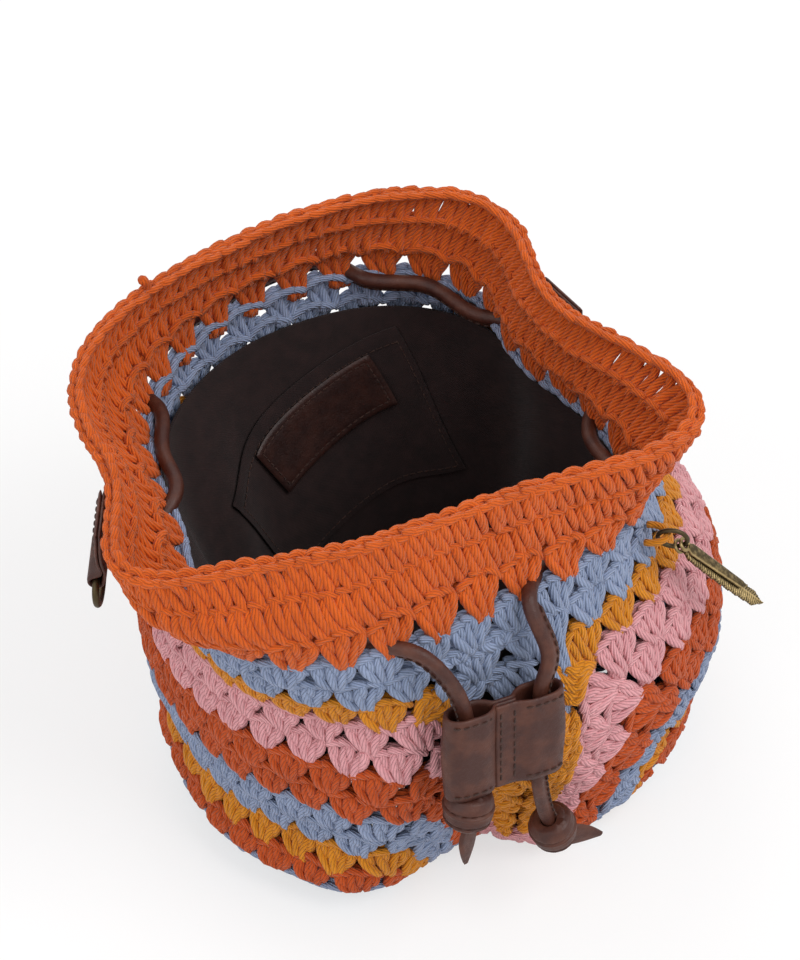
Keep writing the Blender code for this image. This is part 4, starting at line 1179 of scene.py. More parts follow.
@dataclass
class Lining:
    """The cotton lining with its slip pocket and the bare leather label."""

    thickness: float = 1.0 * MM
    inset: float = 4.2 * MM         # from the fabric's middle to the lining's middle, clear of the yarn
    top_round: float = 11.7
    floor_z: float = 28.0 * MM
    floor_half: tuple[float, float] = (60 * MM, 55 * MM)
    floor_shift: float = 3.5 * MM
    folds: int = 9
    fold_depth: float = 3.2 * MM
    pocket: tuple[float, float] = (92 * MM, 58 * MM)
    pocket_shift: tuple[float, float] = (4 * MM, -12 * MM)
    pocket_sheet: float = 0.8 * MM
    label: tuple[float, float] = (56 * MM, 22 * MM)
    label_thickness: float = 1.4 * MM
    slant: float = -22.0
    gap: float = 0.5 * MM
    curve: tuple[float, float] = (-0.15, 1.1)       # shares of the side between which it turns outwards
    back_radius: float = 68.5 * MM  # of the side behind the pocket
    back_length: float = 98.6 * MM  # from the floor to the sewn top behind the pocket
    label_share: float = 0.60       # share of that length at which the label sits
    cut: tuple[float, float] = (0.46, 0.16)
    cloth: float = 0.062            # its flat area with the floor, in square metres

    def surface(self, turn: Array, share: Array) -> Array:
        """Middle of the lining.

        From share 0 to 1 the side goes from the floor's oval to the sewn top, with folds of sine form that
        only press inwards. Below 0 the floor shrinks to its middle.

        Args:
            turn: Direction in degrees.
            share: Share of the way up the side, or minus the share of the way to the floor's middle.

        Returns:
            Points.
        """
        turn, share = np.broadcast_arrays(np.asarray(turn, float), np.asarray(share, float))
        up = np.clip(share, 0, 1)
        angle = np.radians(turn)
        flat = np.clip(1 + share, 0.004, 1)
        top = FORM.off(turn, np.full(turn.shape, self.top_round), np.full(turn.shape, -self.inset))
        floor_x = self.floor_shift + self.floor_half[0] * flat * np.sin(angle)
        floor_y = -self.floor_half[1] * flat * np.cos(angle)
        floor = np.stack([floor_x, floor_y, np.full(turn.shape, self.floor_z)], axis=-1)
        outwards = smooth_step(up, *self.curve) * np.clip(1 + np.minimum(share, 0), 0, 1)
        depth = self.fold_depth * np.sin(math.pi * up) * np.clip(1 + share, 0, 1)
        # the two sines together never pass 1.45, so the folds only press inwards
        ripple = np.sin(self.folds * angle + 2.5 * up) + 0.45 * np.sin(5 * angle - 4.0 * up + 1.0)
        fold = depth * (ripple - 1.45) * (1 - 0.85 * bell(turn, 180, 42))
        point = floor + (top - floor) * np.stack([outwards, outwards, up], axis=-1)
        point[..., 0] += fold * np.sin(angle)
        point[..., 1] -= fold * np.cos(angle)
        return point

    def off(self, turn: Array, share: Array, distance: Array | float) -> Array:
        """Go off the lining's middle along its normal.

        Args:
            turn: Direction in degrees.
            share: Share of the way up the side, as surface takes it.
            distance: Distance inside the middle, or minus that outside it.

        Returns:
            The points.
        """
        along = self.surface(turn + 0.5, share) - self.surface(turn - 0.5, share)
        up = self.surface(turn, share + 0.01) - self.surface(turn, share - 0.01)
        normal = unit(np.cross(along, up))
        reach = np.broadcast_to(np.asarray(distance, float), share.shape)[..., None]
        return self.surface(turn, share) - reach * normal

    def on_pocket(self, p: Array, q: Array, distance: Array | float) -> Array:
        """Lay the slanted flat coordinates of the pocket and the label on the back of the lining.

        Args:
            p: Places across, from the label's middle.
            q: Places up, from the label's middle.
            distance: Distance off the lining's middle.

        Returns:
            The points.
        """
        slant = math.radians(self.slant)
        across = p * math.cos(slant) - q * math.sin(slant)
        up = p * math.sin(slant) + q * math.cos(slant)
        turn = 180.0 + np.degrees(across / self.back_radius)
        return self.off(turn, self.label_share + up / self.back_length, distance)

    def bag(self) -> bpy.types.Object:
        """Sew the lining: one closed shell from the floor's middle up, over the top edge and back down.

        Returns:
            The lining.
        """
        turns = np.arange(180) * 2.0
        floor = np.linspace(-1.0, -0.02, 12)
        side = np.linspace(0.0, 1.0, 44)
        share, turn = np.meshgrid(np.concatenate([floor, side]), turns, indexing="ij")
        half = self.thickness / 2
        outer = self.off(turn, share, -half)
        inner = self.off(turn, share, half)
        flat = len(floor) + 1
        for shell, lift in ((outer, -half), (inner, half)):
            shell[:flat] = self.surface(turn[:flat], share[:flat])
            shell[:flat, :, 2] = self.floor_z + lift
        rings = np.concatenate([outer, inner[::-1]])
        shares = np.concatenate([share, share[::-1]])[:, 0]
        girth = np.append(turns, 360.0) * 1.3 * MM
        places = np.stack(np.meshgrid(shares * 0.11, girth, indexing="ij"), axis=-1)
        blocks = [grid_block(rings, places[..., ::-1], around=True)]
        count = len(turns)
        last = (len(rings) - 1) * count
        caps = np.array([np.arange(count)[::-1], last + np.arange(count)])
        blocks.append(cap_block(caps, len(rings) * count))
        shell = make_object("sewn_lining", blocks, Finish.LINING, 60, weld=True)
        carry(shell, "bag", "lining_cotton", "lining")
        return shell

    def border(self, size: tuple[float, float], shift: tuple[float, float], inset: float, distance: float,
               sides: str) -> list[tuple[Array, Array]]:
        """Lines that run inside a rectangle's edges on the pocket's plane.

        Args:
            size: The rectangle's width and height.
            shift: Its middle.
            inset: Distance of the lines from the edges.
            distance: Distance off the lining.
            sides: Letters of the wanted sides: l, r, b and t.

        Returns:
            Lines and their normals.
        """
        a, b = size[0] / 2 - inset, size[1] / 2 - inset
        corners = {"l": ((-a, b), (-a, -b)), "b": ((-a, -b), (a, -b)),
                   "r": ((a, -b), (a, b)), "t": ((a, b), (-a, b))}
        lines = []
        for side in sides:
            (p0, q0), (p1, q1) = corners[side]
            t = np.linspace(0, 1, 60)
            p, q = shift[0] + p0 + (p1 - p0) * t, shift[1] + q0 + (q1 - q0) * t
            line = self.on_pocket(p, q, distance)
            lines.append((line, unit(self.on_pocket(p, q, distance + MM) - line)))
        return lines

    def slip_pocket(self) -> bpy.types.Object:
        """Sew the slip pocket: a sheet that lies on the lining and gapes a little under its folded hem.

        Returns:
            The pocket.
        """
        width, height = self.pocket
        q, p = np.meshgrid(np.linspace(-0.5, 0.5, 40), np.linspace(-0.5, 0.5, 60), indexing="ij")
        rest = self.thickness / 2 + self.gap + self.pocket_sheet / 2
        gape = 0.5 * MM * smooth_step(q, 0.1, 0.5) * np.cos(np.pi * p)
        hem = 0.35 * MM * smooth_step(q, 0.40, 0.41)
        across, up = p * width + self.pocket_shift[0], q * height + self.pocket_shift[1]
        middle = self.on_pocket(across, up, rest + gape + hem)
        blocks = ribbon_blocks(middle, -grid_normals(middle), self.pocket_sheet)
        piece = make_object("slip_pocket", blocks, Finish.LINING, 60, weld=True)
        carry(piece, "bag", "lining_cotton", "lining_pocket")
        face = rest + self.pocket_sheet / 2
        lines = self.border(self.pocket, self.pocket_shift, 2.2 * MM, face, "lbr")
        lines += self.border((width, height - 8 * MM), self.pocket_shift, 2.0 * MM, face + 0.5 * MM, "t")
        sew("pocket_stitches", "bag", "lining_cotton", Seam.POCKET, lines)
        return piece

    def leather_label(self) -> bpy.types.Object:
        """Sew on the bare leather label, with pressed edges and a row of stitches all round.

        Returns:
            The label.
        """
        width, height = self.label
        q, p = np.meshgrid(np.linspace(-0.5, 0.5, 26), np.linspace(-0.5, 0.5, 60), indexing="ij")
        rest = self.thickness / 2 + 2 * self.gap + self.pocket_sheet + self.label_thickness / 2 + 0.7 * MM
        near = np.minimum((0.5 - np.abs(p)) * width, (0.5 - np.abs(q)) * height)
        groove = -0.22 * MM * np.exp(-((near - 2.0 * MM) / (0.7 * MM)) ** 2)
        middle = self.on_pocket(p * width, q * height, rest + groove)
        blocks = ribbon_blocks(middle, -grid_normals(middle), self.label_thickness, 0.55)
        piece = make_object("leather_label", blocks, Finish.LABEL, 70, weld=True)
        carry(piece, "bag", "leather", "label_patch")
        face = rest + self.label_thickness / 2 - 0.2 * MM
        lines = self.border(self.label, (0.0, 0.0), 2.0 * MM, face, "lbrt")
        sew("label_stitches", "bag", "leather", Seam.LABEL, lines)
        return piece

    def build(self) -> None:
        """Make the lining, its pocket and its label."""
        self.bag()
        self.slip_pocket()
        self.leather_label()


# Leather

@dataclass
class Slider:
    """The leather slider: one strip wrapped round both cords, overlapped and stitched down its middle."""

    centre: tuple[float, float, float] = (-0.016, -0.0962, 0.0955)
    tilt: float = -12.0
    roll: float = 5.0
    height: float = 33 * MM
    leather: float = 1.6 * MM
    channel: float = 13 * MM        # from the slider's middle to each cord

    def place(self) -> Place:
        """Tilt and roll the slider's frame.

        Returns:
            The frame: x across the slider, y into the bag, z up along the cords.
        """
        tilt = Matrix.Rotation(math.radians(self.tilt), 3, "X")
        roll = Matrix.Rotation(math.radians(self.roll), 3, "Y")
        return Place(np.array(self.centre), *np.array(tilt @ roll).T)

    def section(self) -> Array:
        """Middle line of the strip, seen along the cords, from its hidden end to the end of its overlap."""
        points = [(4.0, -0.85), (0.0, -0.85), (-3.6, -1.0), (-5.6, -2.9), (-8.6, -4.3), (-13.0, -4.5),
                  (-17.4, -4.2), (-20.4, -2.5), (-21.3, 0.0), (-20.4, 2.5), (-17.4, 4.2), (-13.0, 4.4),
                  (-8.6, 4.2), (-5.6, 2.7), (-3.4, 0.95), (0.0, 0.85), (3.4, 0.95), (5.6, 2.7), (8.6, 4.2),
                  (13.0, 4.4), (17.4, 4.2), (20.4, 2.5), (21.3, 0.0), (20.4, -2.5), (17.4, -4.2),
                  (13.0, -4.5), (8.6, -4.4), (5.8, -3.5), (3.2, -2.6), (0.0, -2.5), (-4.2, -2.5)]
        return smooth_path(np.array(points) * MM, 0.75 * MM)

    def build(self) -> bpy.types.Object:
        """Wrap the strip, and stitch it along the middle and near both ends.

        Returns:
            The slider.
        """
        place = self.place()
        line = self.section()
        up = np.linspace(-0.5, 0.5, 25) * self.height
        slack = 1 + 0.02 * np.cos(TAU * up / self.height)
        middle = place.at(line[:, None, 0] * slack, line[:, None, 1] * slack, up)
        normal = grid_normals(middle)
        piece = make_object("wrapped_slider", ribbon_blocks(middle, normal, self.leather), Finish.LEATHER, 60,
                            weld=True)
        carry(piece, "slider", "leather", "leather_slider")
        steps = np.linspace(-0.43, 0.43, 60) * self.height
        front = np.broadcast_to(-place.y, (60, 3))
        lines = [(place.at(x, -3.32 * MM, steps), front) for x in (-2.6 * MM, 2.4 * MM)]
        outward = np.gradient(line, axis=0)
        outward = unit(np.stack([outward[:, 1], -outward[:, 0]], axis=-1))
        skin = line + outward * self.leather / 2 * np.sign(np.sum(outward * line, axis=1, keepdims=True))
        side = unit(skin - line)
        for first, last in ((5.8, 20.4), (-20.4, -5.8)):
            chosen = (line[:, 1] < -1.9 * MM) & (line[:, 0] > first * MM) & (line[:, 0] < last * MM)
            order = np.argsort(line[chosen, 0])
            for z in (-14.3 * MM, 14.3 * MM):
                path = place.at(skin[chosen][order, 0], skin[chosen][order, 1], z)
                off = side[chosen][order, :1] * place.x + side[chosen][order, 1:] * place.y
                lines.append((path, off))
        sew("slider_stitches", "slider", "leather", Seam.STRAP, lines)
        return piece


SLIDER = Slider()


@dataclass
class Drawstring:
    """The stitched leather drawstring with its two knots and flat ends."""

    diameter: float = 5.5 * MM
    radius: float = 2.6 * MM
    knot_radius: float = 8.6 * MM
    knot_height: float = 13.0 * MM
    inside: float = -5.35 * MM
    outside: float = 7.15 * MM
    right_knot: tuple[float, float, float] = (0.0020, -0.1010, 0.0430)
    right_down: tuple[float, float, float] = (0.34, 0.02, -0.94)
    neck: tuple[tuple[float, int], ...] = (
        (-23, 1), (-33, 0), (-47, 0), (-61, 0), (-71, 1), (-87, 1), (-97, 0), (-110, 0), (-123, 0), (-133, 1),
        (-150, 1), (-175, 1), (165, 1), (155, 0), (138, 0), (121, 0), (111, 1), (95, 1), (79, 1), (69, 0),
        (54, 0), (38, 0), (16, 0), (6, 1))
    left_tail: tuple[float, float] = (18 * MM, 8.5 * MM)
    right_tail: tuple[float, float] = (17 * MM, 9 * MM)

    def left(self) -> tuple[Array, Array]:
        """Seat the left knot under the slider.

        Returns:
            The knot's middle and the direction in which the cord leaves it.
        """
        place = SLIDER.place()
        low = -SLIDER.height / 2 - 0.5 * MM - self.knot_height / 2
        return place.at(-SLIDER.channel, 0.0, low), -place.z

    def right(self) -> tuple[Array, Array]:
        """Middle of the right knot and the direction in which the cord leaves it."""
        return np.array(self.right_knot), unit(np.array(self.right_down))

    def route(self) -> Array:
        """Lay the cord's middle line, which repeats the route of the CAD model.

        Returns:
            Points along it, from the left knot to the right one.
        """
        place = SLIDER.place()
        x, top = SLIDER.channel, SLIDER.height / 2
        knot, down = self.left()
        points = [knot + down * self.knot_height / 2, place.at(-x, 0, -top), place.at(-x, 0, 0),
                  place.at(-x - 0.8 * MM, 0, top), place.at(-x - 6.5 * MM, 0, top + 15 * MM)]
        for turn, out in self.neck:
            points.append(FORM.off(float(turn), 13.0, self.outside if out else self.inside))
        points += [place.at(x + 3.5 * MM, 0, top + 12 * MM), place.at(x + 0.6 * MM, 0, top),
                   place.at(x, 0, 0), place.at(x, 0, -top), place.at(x, 0, -top - 6 * MM)]
        knot, down = self.right()
        points += [knot - down * self.knot_height * 0.9, knot, knot + down * self.knot_height / 2]
        return smooth_path(np.array(points), 2.4 * MM)

    def knot(self, name: str, centre: Array, along: Array, radius: float) -> bpy.types.Object:
        """Wrap a barrel knot.

        The radius is a rounded barrel, less a groove wherever 2.6 v + w + 0.35, with w in turns, is a whole
        number and a half. Behind the groove the wrap's edge stands up.

        Args:
            name: The CAD node it stands for.
            centre: The barrel's middle.
            along: Its axis.
            radius: Its largest radius.

        Returns:
            The knot.
        """
        place = place_along(centre, along, np.array([0.3, 1.0, 0.2]))
        v = np.linspace(-0.5, 0.5, 36)[:, None]
        w = np.linspace(0, TAU, 60, endpoint=False)[None]
        barrel = radius * (1 - np.abs(2 * v) ** 3.2 * 0.34) * (1 + 0.02 * np.sin(2 * w + 3 * v))
        coil = (2.6 * v + w / TAU + 0.35) % 1.0
        groove = np.exp(-((coil - 0.5) / 0.075) ** 2)
        lip = 0.35 * np.exp(-((coil - 0.66) / 0.10) ** 2)
        reach = barrel - 1.15 * MM * groove + lip * MM
        outer = place.at(v * self.knot_height + 0 * w, reach * np.cos(w), reach * np.sin(w))
        bore = (self.diameter / 2 + 0.1 * MM) * np.ones_like(w)
        ends = [place.at(e * self.knot_height + 0 * w[0], bore[0] * np.cos(w[0]), bore[0] * np.sin(w[0]))
                for e in (0.47, -0.47)]
        rings = np.concatenate([outer, np.array(ends), outer[:1]])
        turns = np.linspace(0, 1, w.size + 1)
        stops = np.stack(np.meshgrid(np.arange(len(rings)) * 0.6 * MM, turns, indexing="ij"), axis=-1)
        blocks = [grid_block(rings, stops, around=True)]
        piece = make_object("wrapped_" + name, blocks, Finish.LEATHER, 70, weld=True)
        return carry(piece, "bag", "leather", name)

    def tail(self, name: str, start: Array, along: Array, across: Array, size: tuple[float, float],
             curl: float) -> bpy.types.Object:
        """Cut a flat end: a sheet whose half width follows the cut's outline and whose tip curls.

        Args:
            name: The CAD node it stands for.
            start: Its root.
            along: Direction of its length.
            across: Direction near that of its width.
            size: Length and width.
            curl: How far the tip bends off the flat.

        Returns:
            The tail.
        """
        place = place_along(start + unit(np.asarray(along, float)) * 0.6 * MM, along, across)
        t = np.linspace(0, 1, 30)
        half = size[1] * through(t, np.array([0.0, 0.3, 0.6, 1.0]), np.array([0.22, 0.5, 0.40, 0.03]))
        v = np.linspace(-1, 1, 15)
        middle = place.at(t[:, None] * size[0], half[:, None] * v, curl * t[:, None] ** 2 - 0.3 * MM * v**2)
        piece = make_object("cut_" + name, ribbon_blocks(middle, grid_normals(middle), 1.8 * MM, 0.4),
                            Finish.LEATHER, 60, weld=True)
        return carry(piece, "bag", "leather", name)

    def build(self) -> bpy.types.Object:
        """Lay the cord and what is on it: a round core whose edges meet in a flat stitched lip.

        Returns:
            The cord.
        """
        path = self.route()
        middle = np.array([-0.006, 0.002, 0.0])
        guide = unit((path - middle) * np.array([1.0, 1.0, 0.0]))
        angle = np.radians(np.array([0, 30, 60, 90, 120, 150, 172, 180, 188, 210, 240, 270, 300, 330]))
        section = np.stack([np.cos(angle), np.sin(angle)], axis=-1)
        section[6:9] = [(-1.46, 0.36), (-1.56, 0.0), (-1.46, -0.36)]
        section[[5, 9]] = [(-0.93, 0.42), (-0.93, -0.42)]
        ends = np.minimum(np.arange(len(path)), np.arange(len(path))[::-1])
        radius = self.radius * (0.86 + 0.14 * smooth_step(ends, 28, 36))
        blocks = strand_blocks(path[None], radius[None], guide[None], section=section)
        cord = make_object("stitched_drawstring", blocks, Finish.LEATHER)
        carry(cord, "bag", "leather", "drawstring")
        tangent = unit(np.gradient(path, axis=0))
        across = unit(np.cross(tangent, guide))
        lift = np.cross(across, tangent)
        lip = path - across * 3.15 * MM
        lines = [(lip + side * lift * 0.98 * MM, side * lift) for side in (1, -1)]
        stitches = sew("drawstring_stitches", "bag", "leather", Seam.CORD, lines)
        (left, left_down), (right, right_down) = self.left(), self.right()
        pieces = [stitches, self.knot("left_knot", left, left_down, self.knot_radius),
                  self.knot("right_knot", right, right_down, self.knot_radius * 0.93)]
        root = left + left_down * self.knot_height / 2
        flat = np.array([1.0, 0.5, 0.0])
        pieces.append(self.tail("left_tail", root, left_down, flat, self.left_tail, -1.5 * MM))
        root = right + right_down * (self.knot_height / 2 + 0.19 * self.right_tail[1])
        point, flat = np.array([0.93, 0.0, -0.36]), np.array([0.36, 0.0, 0.93])
        pieces.append(self.tail("right_tail", root, point, flat, self.right_tail, 1.2 * MM))
        return cord


@dataclass
class StrapTab:
    """A leather strap tab down the outside of the rim, folded round the bar of its D ring."""

    side: str
    turn: float
    gap: float
    width: float = 20 * MM
    leather: float = 2.6 * MM
    standoff: float = 6.5 * MM
    wire: float = 2.4 * MM
    ring: tuple[float, float] = (27 * MM, 14 * MM)
    wall: float = 3.2 * MM          # from the fabric's middle to the outside of its yarn
    ends: tuple[float, float] = (16.8, 15.0)        # rounds of its upper and lower end
    seam_inset: float = 1.8 * MM

    def build(self) -> bpy.types.Object:
        """Fold the tab and hang the ring.

        The strip's middle line goes down the inner layer, round the ring's bar and up the outer layer.

        Returns:
            The tab.
        """
        away = self.wall + self.gap + self.leather / 2
        rounds = np.linspace(*self.ends, 5)
        line = FORM.off(np.full(5, self.turn), rounds, away + np.linspace(0.0, self.standoff, 5))
        outward = unit(FORM.normal(self.turn, self.ends[1]) * np.array([1.0, 1.0, 0.0]))
        tangent = np.cross([0.0, 0.0, 1.0], outward)
        place = Place(line[-1], outward, tangent, np.array([0.0, 0.0, 1.0]))
        flat = np.stack([(line - line[-1]) @ outward, line[:, 2] - line[-1, 2]], axis=-1)
        hole = self.wire / 2 + 0.6 * MM
        loop = hole + self.leather * 0.7
        centre = np.array([loop - self.leather / 2, -loop])
        angle = np.radians(np.linspace(190, 395, 10))
        bend = centre + (hole + 0.62 * MM) * np.stack([np.cos(angle), np.sin(angle)], axis=-1)
        layer = np.array([0.66 * MM, 0.0])
        path = smooth_path(np.concatenate([flat - layer, bend, (flat + layer)[::-1]]), 0.6 * MM)
        across = np.linspace(-0.5, 0.5, 21) * self.width
        middle = place.at(path[:, None, 0], across, path[:, None, 1])
        blocks = ribbon_blocks(middle, grid_normals(middle), 1.25 * MM, 0.35)
        tab = make_object(f"folded_{self.side}_tab", blocks, Finish.LEATHER, 60, weld=True)
        carry(tab, "bag", "leather", f"{self.side}_strap_tab")
        skin = flat + np.array([self.leather / 2 + 0.02 * MM, 0.0])
        spots, stops = np.linspace(0.08, 0.95, 40), np.linspace(0, 1, 5)
        skin = np.stack([np.interp(spots, stops, skin[:, k]) for k in (0, 1)], axis=-1)
        off = np.broadcast_to(outward, (40, 3))
        seam = self.width / 2 - self.seam_inset
        lines = [(place.at(skin[:, 0], a, skin[:, 1]), off) for a in (-seam, seam)]
        steps = np.linspace(-0.38, 0.38, 40) * self.width
        lines += [(place.at(skin[row, 0], steps, skin[row, 1]), off) for row in (0, -1)]
        sew(f"{self.side}_tab_stitches", "bag", "leather", Seam.STRAP, lines)
        self.hang_ring(Place(place.at(centre[0], 0.0, centre[1]), outward, tangent, place.z))
        return tab

    def hang_ring(self, place: Place) -> bpy.types.Object:
        """Bend the D ring: a straight bar along the tab's loop, rounded corners and an oval bow below.

        Args:
            place: Frame on the bar, its y axis along the bar and its z axis up.

        Returns:
            The ring.
        """
        half, corner = self.ring[0] / 2, 3.5 * MM
        w = np.radians(np.linspace(90, 0, 7))
        right = np.stack([half - corner + corner * np.cos(w), -corner + corner * np.sin(w)], axis=-1)
        w = np.radians(np.linspace(0, -180, 33))[1:-1]
        bow = np.stack([half * np.cos(w), -corner + (self.ring[1] - corner) * np.sin(w)], axis=-1)
        left = right[::-1] * np.array([-1.0, 1.0])
        bar = np.stack([np.linspace(-half + corner, half - corner, 10)[1:-1], np.zeros(8)], axis=-1)
        loop = np.concatenate([right, bow, left, bar])
        path = place.at(0.0, loop[:, 0], loop[:, 1])
        guide = np.broadcast_to(place.x, (1, len(path), 3))
        blocks = strand_blocks(path[None], self.wire / 2, guide, 14, closed=True)
        ring = make_object(f"{self.side}_d_ring", blocks, Finish.BRASS)
        return carry(ring, f"{self.side}_ring", "brass", f"{self.side}_strap_ring")


# Brass

@dataclass
class Charms:
    """Two cast charms on a small ring: a hatched feather and a plain bar."""

    turn: float = 43.0
    level: float = 11.9
    ring_radius: float = 5.0 * MM
    wire: float = 1.6 * MM
    thickness: float = 1.8 * MM
    feather: tuple[float, float] = (43 * MM, 7.0 * MM)
    bar: tuple[float, float] = (30 * MM, 4.2 * MM)
    barbs: int = 10
    loop_foot: float = 5.28 * MM    # from the fabric's middle to the feet of the yarn loop
    loop_height: float = 6.2 * MM

    def hang(self) -> tuple[Place, Array]:
        """Work out how the ring hangs on the yarn loop.

        Returns:
            Frame on the loop's bar, x down the ring, y across and z its normal; and the ring's middle.
        """
        outward = FORM.normal(self.turn, self.level)
        angle = math.radians(self.turn)
        tangent = np.array([math.cos(angle), math.sin(angle), 0.0])
        down = unit(np.array([30.0, -14.0, -34.0]))
        normal = unit(np.cross(tangent, down))
        normal = normal if normal @ outward > 0 else -normal
        bar = FORM.off(self.turn, self.level, self.loop_foot) + outward * self.loop_height
        place = Place(bar, down, np.cross(normal, down), normal)
        return place, bar + down * (self.ring_radius - self.wire / 2 - 1.6 * MM)

    def cast(self, name: str, place: Place, outline: Array, heights: Array, worn: Array, body: str,
             node: str) -> bpy.types.Object:
        """Cast a flat charm of a height field, with a round eye at its head.

        Args:
            name: The piece's name.
            place: Its frame: x along it, z off its face.
            outline: Places along it and half widths.
            heights: Height of the face over the grid of stations and columns.
            worn: Rubbed share of the same grid.
            body: The body it rides on.
            node: The CAD node it stands for.

        Returns:
            The charm.
        """
        columns = heights.shape[1]
        v = np.linspace(-1, 1, columns)
        a = np.broadcast_to(outline[:, :1], heights.shape)
        b = outline[:, 1:] * v
        front = place.at(a, b, heights)
        back = place.at(a, b, -np.minimum(heights, self.thickness / 2))
        places = np.stack([a, b], axis=-1)
        sections = np.concatenate([front, back[:, ::-1]], axis=1)
        wrap = np.concatenate([places, places[:, ::-1], places[:, :1]], axis=1)
        rubbed = np.concatenate([worn, worn[:, ::-1] * 0.4], axis=1)
        count = sections.shape[1]
        total = sections.shape[0] * count
        caps = np.array([np.arange(count), total - 1 - np.arange(count)])
        blocks = [grid_block(sections, wrap, around=True, worn=rubbed, flip=True), cap_block(caps, total)]
        w = np.linspace(0, TAU, 28, endpoint=False)
        eye = place.at(2.05 * MM * np.cos(w), 2.05 * MM * np.sin(w), 0.0)
        guide = np.broadcast_to(place.z, (1, 28, 3))
        torus = strand_blocks(eye[None], 0.66 * MM, guide, 10, closed=True)
        torus[0].worn = np.full(len(torus[0].points), 0.35)
        return carry(make_object(name, blocks + torus, Finish.BRASS, 60), body, "brass", node)

    def cast_feather(self, place: Place) -> None:
        """Cast the feather: notched edges, a dome with a quill down its middle, and slanting hatched barbs.

        Args:
            place: Frame on its eye.
        """
        length, width = self.feather
        t = np.linspace(0, 1, 150)
        x = 2.0 * MM + t * (length - 2.0 * MM)
        swell = 0.5 * width * (0.72 + 0.28 * np.sin(np.pi * t)) * (1 - smooth_step(t, 0.90, 1.0) * 0.92)
        swell = swell * (0.30 + 0.70 * smooth_step(t, 0.0, 0.10)) * (0.84 + 0.16 * ((t * self.barbs) % 1.0))
        v = np.linspace(-1, 1, 25)
        dome = self.thickness / 2 * (1 - 0.45 * v**4) + 0.45 * MM * np.exp(-(v / 0.13) ** 2)
        slant = x[:, None] - np.abs(v) * 2.2 * MM
        hatch = np.sin(TAU * slant / (1.15 * MM))
        heights = dome + 0.17 * MM * hatch * (1 - np.exp(-(v / 0.16) ** 2))
        worn = 0.28 + 0.30 * hatch + 0.5 * np.exp(-(v / 0.13) ** 2)
        outline = np.stack([x, swell], axis=-1)
        self.cast("cast_feather", place, outline, heights, worn, "feather", "feather_charm")

    def cast_bar(self, place: Place) -> None:
        """Cast the plain bar: it tapers to a round end, with a fine groove inside each edge.

        Args:
            place: Frame on its eye.
        """
        length, width = self.bar
        t = np.linspace(0, 1, 150)
        v = np.linspace(-1, 1, 25)
        x = 1.6 * MM + t * (length - 1.6 * MM + 1.2 * MM)
        half = 0.5 * width * (1 - 0.35 * t) * np.sqrt(np.clip(1 - smooth_step(t, 0.93, 1.0) ** 2, 0.02, 1))
        half = half * (0.55 + 0.45 * smooth_step(t, 0.0, 0.08))
        groove = 0.15 * MM * np.exp(-((np.abs(v) - 0.66) / 0.08) ** 2)
        heights = np.broadcast_to(self.thickness / 2 * (1 - 0.5 * v**4) - groove, (150, 25))
        worn = np.broadcast_to(0.15 + 0.4 * v**8, (150, 25))
        outline = np.stack([x, half], axis=-1)
        self.cast("cast_bar", place, outline, heights, worn, "bar_charm", "plain_charm")

    def build(self) -> None:
        """Hang the ring and both charms."""
        hang, middle = self.hang()
        w = np.linspace(0, TAU, 40, endpoint=False)
        ring = Place(middle, hang.x, hang.z, hang.y)
        path = ring.at(self.ring_radius * np.cos(w), self.ring_radius * np.sin(w), 0.0)
        guide = np.broadcast_to(ring.z, (1, 40, 3))
        blocks = strand_blocks(path[None], self.wire / 2, guide, 12, closed=True)
        carry(make_object("brass_hoop", blocks, Finish.BRASS), "charm_hoop", "brass", "charm_ring")
        shift = self.thickness / 2 + 0.3 * MM
        head = middle + hang.x * math.sqrt(self.ring_radius**2 - shift**2)
        self.cast_feather(Place(head - hang.z * shift, hang.x, hang.y, hang.z))
        self.cast_bar(Place(head + hang.z * shift, hang.x, hang.y, hang.z))


# Studio

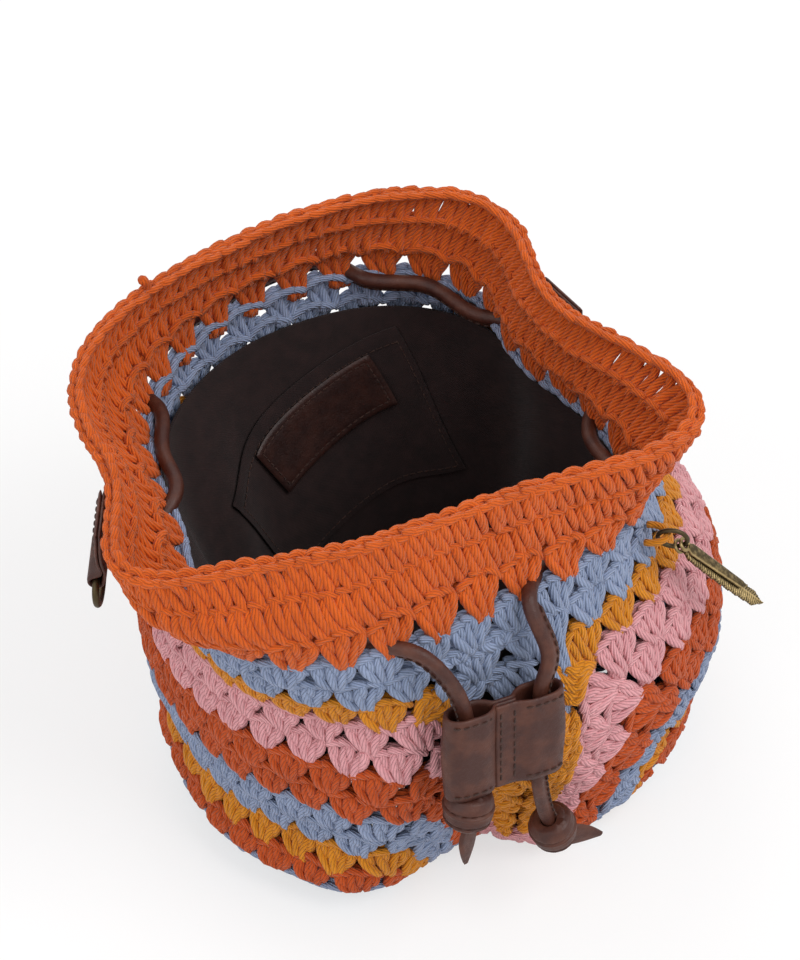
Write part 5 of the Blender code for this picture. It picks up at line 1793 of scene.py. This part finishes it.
@dataclass
class Studio:
    """Camera at the photograph's angle, white surroundings and soft light."""

    azimuth: float = -27.0
    elevation: float = 47.0
    distance: float = 1.15
    lens: float = 116.55
    pixel: float = 0.37 * MM        # what a pixel of the photograph spans at the bag
    shift: tuple[float, float] = (-12.0, 222.0)     # camera's way right and up off the origin, in pixels
    sky: float = 0.62               # light of the white surroundings on the bag
    glow: float = 0.62              # share of plain white in the floor as the camera sees it

    def directions(self) -> tuple[Vector, Vector, Vector]:
        """Work out the camera's axes.

        Returns:
            Its right, up and backward directions.
        """
        a, e = math.radians(self.azimuth), math.radians(self.elevation)
        back = Vector((math.sin(a) * math.cos(e), -math.cos(a) * math.cos(e), math.sin(e)))
        right = Vector((math.cos(a), math.sin(a), 0.0))
        return right, back.cross(right), back

    def camera(self) -> None:
        """Place the camera square to the view, with the bag's place in the frame as in the photograph."""
        right, up, back = self.directions()
        data = bpy.data.cameras.new("camera")
        data.lens = self.lens
        data.sensor_fit = "VERTICAL"
        data.sensor_height = 36.0
        data.clip_end = 20.0
        camera = bpy.data.objects.new("camera", data)
        turn = Matrix((right, up, back)).transposed().to_4x4()
        slide = right * (self.shift[0] * self.pixel) + up * (self.shift[1] * self.pixel)
        turn.translation = back * self.distance + slide
        camera.matrix_world = turn
        bpy.context.scene.collection.objects.link(camera)
        bpy.context.scene.camera = camera

    def lamp(self, name: str, place: tuple[float, float, float], size: float, power: float) -> None:
        """Hang a square area lamp that points at the bag.

        Args:
            name: The lamp's name.
            place: Where it hangs.
            size: Its side.
            power: Its power in watts.
        """
        data = bpy.data.lights.new(name, "AREA")
        data.size = size
        data.energy = power
        lamp = bpy.data.objects.new(name, data)
        lamp.location = place
        lamp.rotation_euler = (Vector((0, 0, 0.08)) - Vector(place)).to_track_quat("-Z", "Y").to_euler()
        bpy.context.scene.collection.objects.link(lamp)

    def surroundings(self) -> None:
        """Set up a white world and a pale floor, which keeps a light shadow; metal and camera see white."""
        world = bpy.data.worlds.new("studio")
        world.use_nodes = True
        tree = world.node_tree
        sky = tree.nodes["Background"]
        sky.inputs["Color"].default_value = (1.0, 1.0, 1.0, 1.0)
        rays = add_node(tree, "LightPath")
        seen = add_node(tree, "Math", {0: rays.outputs["Is Camera Ray"], 1: rays.outputs["Is Glossy Ray"]},
                        operation="MAXIMUM")
        seen = add_node(tree, "Math", {0: seen.outputs[0], 1: rays.outputs["Is Transmission Ray"]},
                        operation="MAXIMUM")
        strength = add_node(tree, "MapRange", {"Value": seen.outputs[0], "To Min": self.sky, "To Max": 1.0})
        tree.links.new(strength.outputs[0], sky.inputs["Strength"])
        bpy.context.scene.world = world
        size = 3.0
        floor = bpy.data.meshes.new("floor")
        corners = [(-size, -size, 0), (size, -size, 0), (size, size, 0), (-size, size, 0)]
        floor.from_pydata(corners, [], [(0, 1, 2, 3)])
        material = bpy.data.materials.new("pale_floor")
        material.use_nodes = True
        tree = material.node_tree
        tree.nodes.remove(tree.nodes["Principled BSDF"])
        matt = add_node(tree, "BsdfDiffuse", {"Color": (0.90, 0.90, 0.90, 1.0)})
        glow = add_node(tree, "Emission", {"Color": (1.0, 1.0, 1.0, 1.0), "Strength": 1.0})
        rays = add_node(tree, "LightPath")
        share = add_node(tree, "Math", {0: rays.outputs["Is Camera Ray"], 1: self.glow},
                         operation="MULTIPLY")
        both = add_node(tree, "MixShader", {0: share.outputs[0], 1: matt.outputs[0], 2: glow.outputs[0]})
        tree.links.new(both.outputs[0], tree.nodes["Material Output"].inputs["Surface"])
        floor.materials.append(material)
        obj = bpy.data.objects.new("floor", floor)
        bpy.context.scene.collection.objects.link(obj)

    def build(self) -> None:
        """Set up the whole studio."""
        self.camera()
        self.surroundings()
        self.lamp("key", (0.55, -0.75, 1.35), 0.9, 13.0)
        self.lamp("fill", (-1.1, -0.3, 0.9), 1.2, 5.0)
        self.lamp("back", (0.2, 1.1, 1.0), 0.9, 5.0)
        bpy.context.scene.view_settings.view_transform = "Standard"


def main() -> None:
    """Build the studio and every piece of the bag, the cord first."""
    logging.basicConfig(level=logging.INFO, format="%(message)s")
    charms = Charms()
    Studio().build()
    Drawstring().build()
    SLIDER.build()
    CrochetWall().build()
    CrochetBase().build()
    LooseYarn().build(charms)
    Lining().build()
    StrapTab("left", -77.0, 0.8 * MM).build()
    StrapTab("right", 92.0, 2.0 * MM).build()
    charms.build()


if __name__ == "__main__":
    main()
